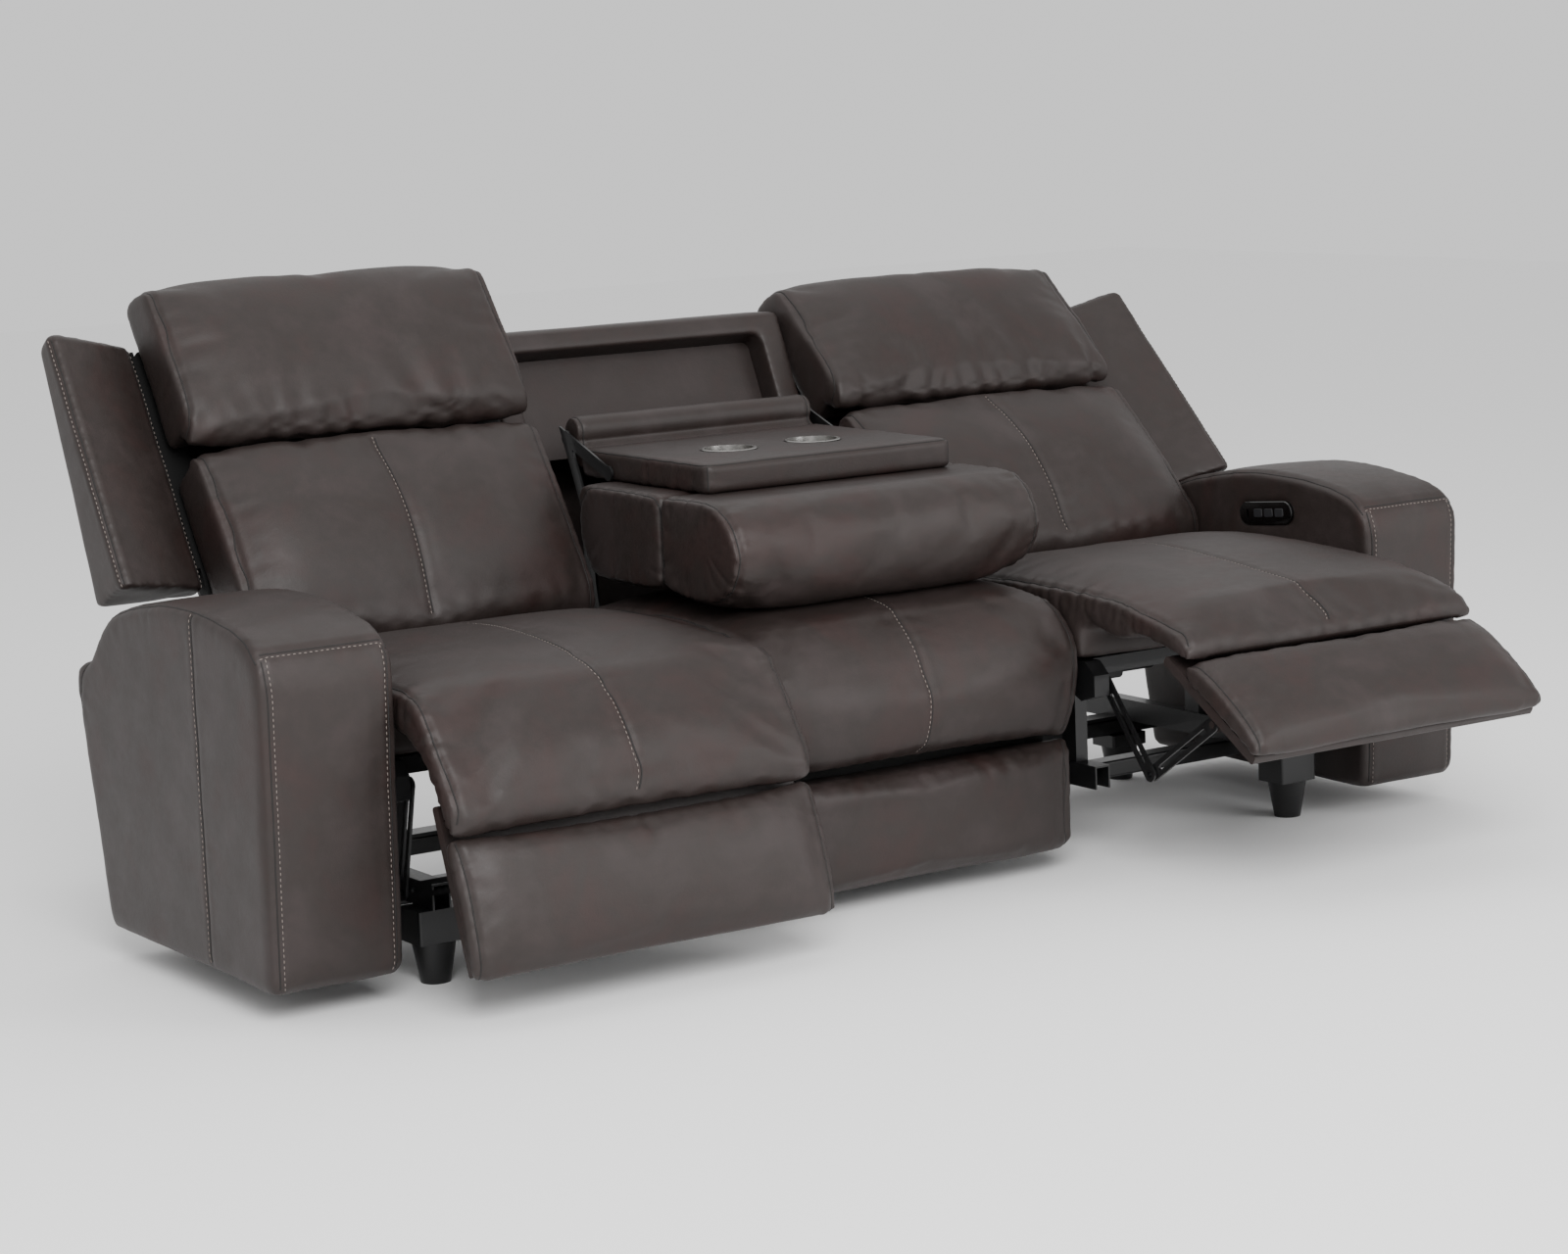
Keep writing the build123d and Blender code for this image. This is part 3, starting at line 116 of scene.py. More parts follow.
@dataclass(frozen=True)
class SeatPose:
    """How one reclining seat stands: lean of its back, swing and turn of its footrest, in degrees."""

    hand: Hand
    lean: float
    swing: float
    turn: float
    reference: float = 32.0
    travel: float = 5.4
    reach: float = 171.0
    drop: float = 12.0
    back_pivot: Spot = (480.0, 345.0)
    flap_pivot: Spot = (-22.0, 390.0)

    @property
    def shift(self) -> float:
        """How far the carriage stands behind its reference place, in mm."""
        return -self.travel * (self.lean - self.reference)

    @property
    def flap_angle(self) -> float:
        """Angle of the flap's own line from straight down, in radians."""
        return math.radians(self.swing) - math.atan2(self.drop, self.reach)

    def seat(self) -> CrossFrame:
        """Frame of the seat carriage: backwards and upwards."""
        return CrossFrame((self.shift, 0.0), (1.0, 0.0), (0.0, 1.0))

    def back(self) -> CrossFrame:
        """Frame of the back: square to it backwards, and up along it."""
        a = math.radians(self.lean)
        origin = (self.back_pivot[0] + self.shift, self.back_pivot[1])
        return CrossFrame(origin, (math.cos(a), -math.sin(a)), (math.sin(a), math.cos(a)))

    def flap(self) -> CrossFrame:
        """Frame of the flap."""
        return CrossFrame.hanging((self.flap_pivot[0] + self.shift, self.flap_pivot[1]), self.flap_angle)

    def footrest(self) -> CrossFrame:
        """Frame of the footrest."""
        f = self.flap()
        y = f.origin[0] + self.reach * f.first[0] + self.drop * f.second[0]
        z = f.origin[1] + self.reach * f.first[1] + self.drop * f.second[1]
        return CrossFrame.hanging((y, z), math.radians(self.turn))


WORLD = CrossFrame((0.0, 0.0), (1.0, 0.0), (0.0, 1.0))
POSES = (SeatPose(Hand.LEFT, 32.0, 39.4, 20.0), SeatPose(Hand.RIGHT, 44.5, 81.1, 57.0))


# ------------------------------------------------------------------ materials
def colour(code: str) -> tuple[float, float, float, float]:
    """Turn an sRGB hex value of six digits into the linear colour that the shader reads."""
    channels = [int(code[i : i + 2], 16) / 255 for i in (0, 2, 4)]
    linear = [c / 12.92 if c <= 0.04045 else ((c + 0.055) / 1.055) ** 2.4 for c in channels]
    return (linear[0], linear[1], linear[2], 1.0)


def add_node(tree: Tree, kind: str, settings: dict | None = None, links: dict | None = None) -> Node:
    """Add a node to a tree with its settings and its input links.

    Args:
        tree: The node tree.
        kind: The node's type name.
        settings: Properties by name; a key that is an input's name sets that input's value.
        links: Output sockets by the name or the number of the input they go into.

    Returns:
        The new node.
    """
    node = tree.nodes.new(kind)
    for key, value in (settings or {}).items():
        if isinstance(key, int) or key in node.inputs:
            node.inputs[key].default_value = value
        else:
            setattr(node, key, value)
    for key, socket in (links or {}).items():
        tree.links.new(socket, node.inputs[key])
    return node


def new_material(name: str) -> tuple[Material, Tree, Node]:
    """Start a node material; returns the material, its tree and its Principled shader."""
    material = bpy.data.materials.new(name)
    material.use_nodes = True
    tree = material.node_tree
    return material, tree, tree.nodes["Principled BSDF"]


def ramp(tree: Tree, factor: Socket, stops: list[tuple[float, tuple]]) -> Socket:
    """Add a colour ramp; returns its colour socket.

    Args:
        tree: The node tree.
        factor: Socket that drives the ramp.
        stops: Position and colour of each stop.
    """
    node = add_node(tree, "ShaderNodeValToRGB", links={"Fac": factor})
    elements = node.color_ramp.elements
    while len(elements) < len(stops):
        elements.new(0.5)
    for element, (place, shade) in zip(elements, stops):
        element.position = place
        element.color = shade
    return node.outputs["Color"]


def noise(tree: Tree, place: Socket, size_mm: float, detail: float, roughness: float, twist: float = 0.0) -> Socket:
    """Add a noise whose features have a size in mm; returns its factor socket."""
    settings = {"Scale": 1 / (size_mm * MM), "Detail": detail, "Roughness": roughness, "Distortion": twist}
    return add_node(tree, "ShaderNodeTexNoise", settings, {"Vector": place}).outputs["Fac"]


def relief(tree: Tree, height: Socket, strength: float, depth_mm: float, below: Socket | None = None) -> Socket:
    """Add a bump on top of the one below it; returns its normal socket."""
    links = {"Height": height} | ({"Normal": below} if below else {})
    return add_node(tree, "ShaderNodeBump", {"Strength": strength, "Distance": depth_mm * MM}, links).outputs["Normal"]


def uneven_gloss(tree: Tree, shader: Node, factor: Socket, low: float, high: float) -> None:
    """Let the roughness run between two values with a factor."""
    rough = add_node(tree, "ShaderNodeMapRange", {"To Min": low, "To Max": high}, {"Value": factor})
    tree.links.new(rough.outputs["Result"], shader.inputs["Roughness"])


@dataclass(frozen=True)
class PullUpLeather:
    """Corrected pull-up leather, drum-milled: low sheen, brown mottling that lightens where it is stretched; on sharp
    edges and welts that lightening is also a painted highlight.
    """

    name: str = "pull_up_leather"
    shade: str = "261F1D"
    warm: str = "2A1E1C"
    light: str = "2D2524"
    mottle_mm: float = 130.0
    cloud_mm: float = 18.0
    pore_mm: float = 2.08
    crease_mm: float = 9.0
    roughness: float = 0.50
    bump: float = 0.22

    def build(self) -> Material:
        """Make the material."""
        material, tree, shader = new_material(self.name)
        place = add_node(tree, "ShaderNodeTexCoord").outputs["Object"]
        wide = noise(tree, place, self.mottle_mm, 4.0, 0.6, 0.4)
        small = noise(tree, place, self.cloud_mm, 5.0, 0.65)
        tone = ramp(tree, wide, [(0.36, colour(self.warm)), (0.50, colour(self.shade)), (0.66, colour(self.light))])
        fleck = ramp(tree, small, [(0.35, (0.90, 0.89, 0.88, 1)), (0.68, (1.08, 1.07, 1.06, 1))])
        multiply = {"data_type": "RGBA", "blend_type": "MULTIPLY", 0: 1.0}
        both = add_node(tree, "ShaderNodeMix", multiply, {6: tone, 7: fleck})
        # Lighter on sharp edges: partly the leather's own pull-up wear, partly a painted highlight where light catches
        # edges and welts.
        bend = add_node(tree, "ShaderNodeNewGeometry").outputs["Pointiness"]
        edge_wear_and_highlight = ramp(tree, bend, [(0.50, (0, 0, 0, 1)), (0.60, (0.25, 0.25, 0.25, 1))])
        lighten = {"data_type": "RGBA", 7: colour(self.light)}
        final = add_node(tree, "ShaderNodeMix", lighten, {0: edge_wear_and_highlight, 6: both.outputs[2]})
        tree.links.new(final.outputs[2], shader.inputs["Base Color"])
        uneven_gloss(tree, shader, small, self.roughness - 0.07, self.roughness + 0.09)
        cells = {"feature": "DISTANCE_TO_EDGE", "Scale": 1 / (self.pore_mm * MM)}
        pores = add_node(tree, "ShaderNodeTexVoronoi", cells, {"Vector": place}).outputs["Distance"]
        folds = noise(tree, place, self.crease_mm, 6.0, 0.7, 1.2)
        fine = relief(tree, pores, self.bump * 0.6, 0.35)
        tree.links.new(relief(tree, folds, self.bump, 1.6, fine), shader.inputs["Normal"])
        shader.inputs["IOR"].default_value = 1.5
        shader.inputs["Specular IOR Level"].default_value = 0.35
        return material


@dataclass(frozen=True)
class PlainFinish:
    """A hard finish with fine uneven gloss: painted or bare metal, moulded plastic, thread."""

    name: str
    shade: str
    other: str
    roughness: float
    metallic: float = 0.0
    grain_mm: float = 3.0
    bump: float = 0.05
    stretch: tuple[float, float, float] = (1.0, 1.0, 1.0)
    coat: float = 0.0
    shine: float = 0.5

    def build(self) -> Material:
        """Make the material."""
        material, tree, shader = new_material(self.name)
        place = add_node(tree, "ShaderNodeTexCoord").outputs["Object"]
        laid = add_node(tree, "ShaderNodeMapping", {"Scale": self.stretch}, {"Vector": place}).outputs["Vector"]
        grain = noise(tree, laid, self.grain_mm, 4.0, 0.6)
        tone = ramp(tree, grain, [(0.3, colour(self.shade)), (0.7, colour(self.other))])
        tree.links.new(tone, shader.inputs["Base Color"])
        spread = min(0.12, self.roughness * 0.35)
        uneven_gloss(tree, shader, grain, self.roughness - spread, self.roughness + spread)
        if self.bump:
            tree.links.new(relief(tree, grain, self.bump, 0.3), shader.inputs["Normal"])
        values = {"Metallic": self.metallic, "Coat Weight": self.coat, "Specular IOR Level": self.shine}
        for key, value in values.items():
            shader.inputs[key].default_value = value
        return material


class Finish(Enum):
    """Finishes of the sofa's pieces."""

    LEATHER = PullUpLeather()
    # Bonded polyester thread, lighter than the leather, dull.
    THREAD = PlainFinish("bonded_thread", "6A615C", "7C726C", 0.6, grain_mm=0.6)
    # The fold of a seam, where leather turns in: painted near black as the shade in the crease, and duller than the
    # face.
    CREASE = PlainFinish("seam_fold_shade", "0E0B0A", "15110F", 0.75, grain_mm=4.0)
    # Electro-coated mild steel: satin black, thin, shows slight orange peel.
    BLACK_STEEL = PlainFinish("coated_steel", "070708", "0E0E0F", 0.42, grain_mm=6.0, bump=0.12, coat=0.15)
    # The steel frame of a back: black primer, dull.
    PRIMED_STEEL = PlainFinish("primed_steel", "050505", "090909", 0.7, grain_mm=6.0, bump=0.1, shine=0.2)
    # Zinc-plated rivet heads: bluish white, soft gloss.
    ZINC = PlainFinish("zinc_plate", "B9BCC0", "D5D7DA", 0.30, metallic=1.0, grain_mm=1.0)
    # Oil-tempered spring wire.
    WIRE = PlainFinish("spring_wire", "5A5A5C", "77777A", 0.40, metallic=1.0, grain_mm=2.0)
    # Spun stainless steel: fine rings, soft gloss.
    SPUN_STEEL = PlainFinish("spun_steel", "8E8D8B", "AFADAA", 0.30, 1.0, 5.0, bump=0.0, stretch=(1, 1, 8))
    # Spun-bonded dust cloth over the deck: black, dull, slightly fibrous; its black also stands as painted shade in the
    # gap between the middle cushion and its front panel.
    DUST_CLOTH_AND_SHADE = PlainFinish("dust_cloth_and_shade", "0D0D0D", "1A1918", 0.9, grain_mm=1.2, bump=0.3)
    # Birch plywood, raw, greyed by dust.
    PLYWOOD = PlainFinish("birch_plywood", "8F8069", "A99B84", 0.65, grain_mm=14.0, bump=0.2, stretch=(1, 0.15, 1))
    # Injection-moulded ABS, polished mould: piano black.
    GLOSS_BLACK = PlainFinish("polished_abs", "050505", "0A0A0B", 0.09, grain_mm=9.0, bump=0.01, coat=0.5)
    # The same ABS from an etched mould: dull.
    MATT_BLACK = PlainFinish("etched_abs", "17171A", "222225", 0.55, grain_mm=0.8, bump=0.15)
    # Glass-filled nylon: motor housing and feet, faint flow marks.
    NYLON = PlainFinish("filled_nylon", "09090A", "121213", 0.40, grain_mm=2.5, bump=0.12)


class Finishes:
    """Builds each finish once."""

    def __init__(self) -> None:
        """Start with no materials."""
        self._made: dict[str, Material] = {}

    def dress(self, mesh: Mesh, finish: Finish) -> None:
        """Make a finish the only one of a mesh."""
        mesh.materials.clear()
        mesh.materials.append(self.get(finish))

    def get(self, finish: Finish) -> Material:
        """Material of a finish."""
        if finish.name not in self._made:
            self._made[finish.name] = finish.value.build()
        return self._made[finish.name]


FINISHES = Finishes()


# ------------------------------------------------------------------ objects and meshes
def add_object(name: str, data: bpy.types.ID) -> Object:
    """Add an object to the scene."""
    obj = bpy.data.objects.new(name, data)
    bpy.context.scene.collection.objects.link(obj)
    return obj


def settle(obj: Object) -> None:
    """Turn an object's modifiers into its mesh."""
    bpy.context.view_layer.update()
    result = bpy.data.meshes.new_from_object(obj.evaluated_get(bpy.context.evaluated_depsgraph_get()))
    obj.modifiers.clear()
    obj.data = result


def read_vectors(values: bpy.types.bpy_prop_collection, key: str) -> np.ndarray:
    """Vectors of a collection of mesh data, one row each."""
    out = np.zeros(len(values) * 3)
    values.foreach_get(key, out)
    return out.reshape(-1, 3)


def move_points(obj: Object, points: np.ndarray) -> None:
    """Put an object's vertices at new places."""
    obj.data.vertices.foreach_set("co", points.ravel())
    obj.data.update()


def surface_tree(obj: Object) -> BVHTree:
    """Search tree of an object's faces."""
    work = bmesh.new()
    work.from_mesh(obj.data)
    tree = BVHTree.FromBMesh(work)
    work.free()
    return tree


# ------------------------------------------------------------------ geometry node trees
def start_tree(name: str, sizes: list[str]) -> tuple[Tree, Node]:
    """Start a geometry node tree.

    Args:
        name: The tree's name.
        sizes: Names of its float inputs, which stand between its geometry and its material.

    Returns:
        The tree and its group input node.
    """
    tree = bpy.data.node_groups.new(name, "GeometryNodeTree")
    kinds = {"Geometry": "Geometry"} | {size: "Float" for size in sizes} | {"Material": "Material"}
    for given, kind in kinds.items():
        tree.interface.new_socket(name=given, in_out="INPUT", socket_type=f"NodeSocket{kind}")
    tree.interface.new_socket(name="Geometry", in_out="OUTPUT", socket_type="NodeSocketGeometry")
    return tree, add_node(tree, "NodeGroupInput")


def end_tree(tree: Tree, given: Node, geometry: Socket) -> Tree:
    """Finish a tree: realize what it instances, shade it smooth, give it its material.

    Args:
        tree: The tree.
        given: Its group input node.
        geometry: The geometry to hand out.

    Returns:
        The tree.
    """
    real = add_node(tree, "GeometryNodeRealizeInstances", links={"Geometry": geometry})
    smooth = add_node(tree, "GeometryNodeSetShadeSmooth", links={"Geometry": real.outputs["Geometry"]})
    links = {"Geometry": smooth.outputs["Geometry"], "Material": given.outputs["Material"]}
    dressed = add_node(tree, "GeometryNodeSetMaterial", links=links)
    add_node(tree, "NodeGroupOutput", links={0: dressed.outputs["Geometry"]})
    return tree


def scatter(tree: Tree, given: Node, points: Socket, piece: Socket, axis: str, way: Socket, sizes: str) -> Tree:
    """Finish a tree that sets a piece on every point.

    Args:
        tree: The tree.
        given: Its group input node.
        points: The points.
        piece: The piece.
        axis: The piece's own axis that is turned.
        way: The direction it is turned to.
        sizes: Names of the inputs that give its size along x, y and z.

    Returns:
        The tree.
    """
    size = add_node(tree, "ShaderNodeCombineXYZ", links=dict(zip("XYZ", map(given.outputs.get, sizes.split()))))
    turn = add_node(tree, "FunctionNodeAlignRotationToVector", {"axis": axis}, {"Vector": way})
    links = {"Points": points, "Instance": piece, "Rotation": turn.outputs["Rotation"], "Scale": size.outputs["Vector"]}
    laid = add_node(tree, "GeometryNodeInstanceOnPoints", links=links)
    return end_tree(tree, given, laid.outputs["Instances"])


def stitch_tree() -> Tree:
    """Tree that lays stitches at an even pitch along every line of a mesh of edges."""
    tree, given = start_tree("row_of_stitches", ["Pitch", "Length", "Thickness"])
    line = add_node(tree, "GeometryNodeMeshToCurve", links={"Mesh": given.outputs["Geometry"]})
    links = {"Curve": line.outputs["Curve"], "Length": given.outputs["Pitch"]}
    points = add_node(tree, "GeometryNodeCurveToPoints", {"mode": "LENGTH"}, links).outputs
    ball = add_node(tree, "GeometryNodeMeshIcoSphere", {"Radius": 0.5, "Subdivisions": 1}).outputs["Mesh"]
    return scatter(tree, given, points["Points"], ball, "X", points["Tangent"], "Length Thickness Thickness")


def cord_tree() -> Tree:
    """Tree that sweeps a thin round fold along every line of a mesh of edges."""
    tree, given = start_tree("seam_fold_shade", ["Radius"])
    line = add_node(tree, "GeometryNodeMeshToCurve", links={"Mesh": given.outputs["Geometry"]})
    ring = add_node(tree, "GeometryNodeCurvePrimitiveCircle", {"Resolution": 6}, {"Radius": given.outputs["Radius"]})
    links = {"Curve": line.outputs["Curve"], "Profile Curve": ring.outputs["Curve"]}
    tube = add_node(tree, "GeometryNodeCurveToMesh", {"Fill Caps": True}, links)
    return end_tree(tree, given, tube.outputs["Mesh"])


def rivet_tree() -> Tree:
    """Tree that sets a domed rivet with its washer on every point, along the point's own direction."""
    tree, given = start_tree("row_of_rivets", ["Radius", "Height"])
    stored = {"data_type": "FLOAT_VECTOR", "Name": "facing"}
    facing = add_node(tree, "GeometryNodeInputNamedAttribute", stored).outputs["Attribute"]
    dome = add_node(tree, "GeometryNodeMeshUVSphere", {"Segments": 16, "Rings": 8, "Radius": 0.72})
    washer = add_node(tree, "GeometryNodeMeshCylinder", {"Vertices": 18, "Radius": 1.0, "Depth": 0.5})
    both = add_node(tree, "GeometryNodeJoinGeometry")
    for part in (dome, washer):
        tree.links.new(part.outputs["Mesh"], both.inputs["Geometry"])
    points = add_node(tree, "GeometryNodeMeshToPoints", links={"Mesh": given.outputs["Geometry"]}).outputs["Points"]
    return scatter(tree, given, points, both.outputs["Geometry"], "Z", facing, "Radius Radius Height")


def grow(name: str, mesh: Mesh, tree: Tree, sizes: dict[str, float], finish: Finish) -> Object:
    """Run a geometry node tree on a mesh and keep its result as a plain mesh object.

    Args:
        name: The new object's name.
        mesh: Lines or points that the tree starts from.
        tree: The tree.
        sizes: Values of its float inputs, in mm.
        finish: Its finish.

    Returns:
        The object, with no modifier left.
    """
    obj = add_object(name, mesh)
    modifier = obj.modifiers.new("nodes", "NODES")
    modifier.node_group = tree
    names = {item.name: item.identifier for item in tree.interface.items_tree if item.in_out == "INPUT"}
    for key, value in sizes.items():
        modifier[names[key]] = value * MM
    modifier[names["Material"]] = FINISHES.get(finish)
    settle(obj)
    return obj


# ------------------------------------------------------------------ seams
@dataclass
class Seam:
    """A line on a padded piece: its path, its stitching, and how the leather behaves beside it."""

    path: Line
    fold: float = 0.9  # radius of the fold cord, painted shade along the crease, mm; 0 for none
    rows: tuple[float, ...] = (5.5,)  # distance of each row of stitches to the side, mm
    depth: float = 2.2  # depth of the valley, mm; negative for a swelling
    width: float = 5.5  # half width of the valley, mm
    pucker: float = 0.8  # height of the gathers, mm
    reach: float = 38.0  # how far the gathers run from the line, mm
    pitch: float = 26.0  # distance from gather to gather, mm
    pinned: bool = True


def welt(path: Line, **how) -> Seam:
    """A seam with its fold but no stitches on show."""
    return Seam(path, rows=(), **how)


def topstitch(path: Line, row: float = 4.5, fold: float = 0.7, **how) -> Seam:
    """A flat seam with one row of stitches beside it."""
    return Seam(path, rows=(row,), fold=fold, **how)


def drawn(path: Line, **how) -> Seam:
    """No seam, but a line that the leather gathers or swells along."""
    return Seam(path, fold=0, rows=(), pinned=False, **how)


@dataclass
class SeamBook:
    """Collects fold lines and stitch rows of all pieces by body, and makes them at the end."""

    stitch: dict[str, float] = field(default_factory=lambda: {"Pitch": 8.2, "Length": 5.8, "Thickness": 1.6})
    cord: dict[str, float] = field(default_factory=lambda: {"Radius": 1.35})
    folds: dict[str, list[Line]] = field(default_factory=dict)
    rows: dict[str, list[Line]] = field(default_factory=dict)
    blends: dict[str, tuple[str, str, Vector, Vector]] = field(default_factory=dict)

    def note(self, body: str, seam: Seam, tree: BVHTree) -> None:
        """Lay one seam on its piece and write it down.

        Args:
            body: Body that the seam rides on, or the name of the blended piece under it.
            seam: The seam.
            tree: Search tree of the piece.
        """
        line, normals = lay(seam.path, tree, spacing=0.003)
        if seam.fold > 0:
            sunk = [p - n * (seam.fold * 0.55 * MM) for p, n in zip(line, normals)]
            self.folds.setdefault(body, []).append(sunk)
        for offset in seam.rows:
            row = []
            for i, (p, n) in enumerate(zip(line, normals)):
                ahead = line[min(i + 1, len(line) - 1)] - line[max(i - 1, 0)]
                side = ahead.cross(n)
                if side.length < 1e-9:
                    continue
                spot = tree.find_nearest(p + side.normalized() * offset * MM)
                row.append(spot[0] + spot[1] * 0.15 * MM)
            if len(row) > 2:
                self.rows.setdefault(body, []).append(row)

    @staticmethod
    def lines_mesh(lines: list[Line]) -> Mesh:
        """Mesh of edges along a set of lines."""
        mesh = bpy.data.meshes.new("lines")
        points, edges = [], []
        for line in lines:
            first = len(points)
            points += [tuple(p) for p in line]
            edges += [(first + i, first + i + 1) for i in range(len(line) - 1)]
        mesh.from_pydata(points, edges, [])
        return mesh

    def make(self) -> None:
        """Make one object of stitches and one of dark folds, painted shade along the seams' creases, for each body,
        blended like the piece under it.
        """
        for kind, book, tree, sizes, finish in (
            ("stitches", self.rows, stitch_tree(), self.stitch, Finish.THREAD),
            # The fold cords take a near-black finish: painted shade in the seams' creases.
            ("seam_fold_shade_cords", self.folds, cord_tree(), self.cord, Finish.CREASE),
        ):
            for body, lines in book.items():
                obj = grow(f"{kind}_{body}", self.lines_mesh(lines), tree, sizes, finish)
                if body in self.blends:
                    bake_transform(obj)
                else:
                    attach(obj, body)
                log.info("%s: %d faces", obj.name, len(obj.data.polygons))


SEAMS = SeamBook()


class Waves:
    """Smooth seeded noise made of sine waves."""

    def __init__(self, seed: int, dimensions: int, short: float, long: float, count: int = 14) -> None:
        """Pick the waves.

        Args:
            seed: Seed of the choice.
            dimensions: Number of coordinates.
            short: Shortest wave.
            long: Longest wave.
            count: Number of waves.
        """
        rng = np.random.default_rng(seed)
        ways = rng.normal(size=(count, dimensions))
        ways /= np.linalg.norm(ways, axis=1, keepdims=True)
        lengths = np.exp(rng.uniform(math.log(short), math.log(long), count))
        self.ways = ways * (2 * math.pi / lengths)[:, None]
        self.phases = rng.uniform(0, 2 * math.pi, count)
        self.scale = math.sqrt(2 / count)

    def __call__(self, points: np.ndarray) -> np.ndarray:
        """Noise value at each point, about -2 to 2."""
        return np.sin(points @ self.ways.T + self.phases).sum(1) * self.scale


def bell(x: np.ndarray) -> np.ndarray:
    """Bell curve of height 1."""
    return np.exp(-(x**2))


def lay(path: Line, tree: BVHTree, spacing: float = 0.004) -> tuple[Line, Line]:
    """Lay a path on a surface and even it out.

    Args:
        path: Points near the surface.
        tree: Search tree of the surface.
        spacing: Distance between laid points, in metres.

    Returns:
        Points on the surface, and the normals there.
    """
    rounds = 12
    line = [path[0].copy()]
    for a, b in zip(path, path[1:]):
        n = max(1, round((b - a).length / spacing))
        line += [a.lerp(b, (i + 1) / n) for i in range(n)]
    for last in (False, False, True):
        found = [tree.find_nearest(p) for p in line]
        line = [f[0] for f in found]
        for _ in range(0 if last else rounds):
            middle = [(line[i - 1] + line[i] * 2 + line[i + 1]) / 4 for i in range(1, len(line) - 1)]
            line = [line[0], *middle, line[-1]]
    return line, [f[1] for f in found]


def lofted(rows: list[Line]) -> Mesh:
    """Closed mesh, faces outward, through outlines across the sofa that all have the same number of points."""
    count = len(rows[0])
    faces = []
    for i in range(len(rows) - 1):
        for j in range(count):
            k = (j + 1) % count
            faces.append((i * count + j, i * count + k, (i + 1) * count + k, (i + 1) * count + j))
    faces.append(tuple(range(count)))
    faces.append(tuple((len(rows) - 1) * count + j for j in reversed(range(count))))
    mesh = bpy.data.meshes.new("filling")
    mesh.from_pydata([tuple(p) for row in rows for p in row], [], faces)
    work = bmesh.new()
    work.from_mesh(mesh)
    bmesh.ops.triangulate(work, faces=work.faces)
    bmesh.ops.recalc_face_normals(work, faces=work.faces)
    work.to_mesh(mesh)
    work.free()
    return mesh


def fullness(t: float) -> float:
    """How full a cushion is at a place across it, from 0 at its ends to 1 in its middle."""
    squareness = 5.7
    return 1 - (1 - 2 * min(t, 1 - t)) ** squareness


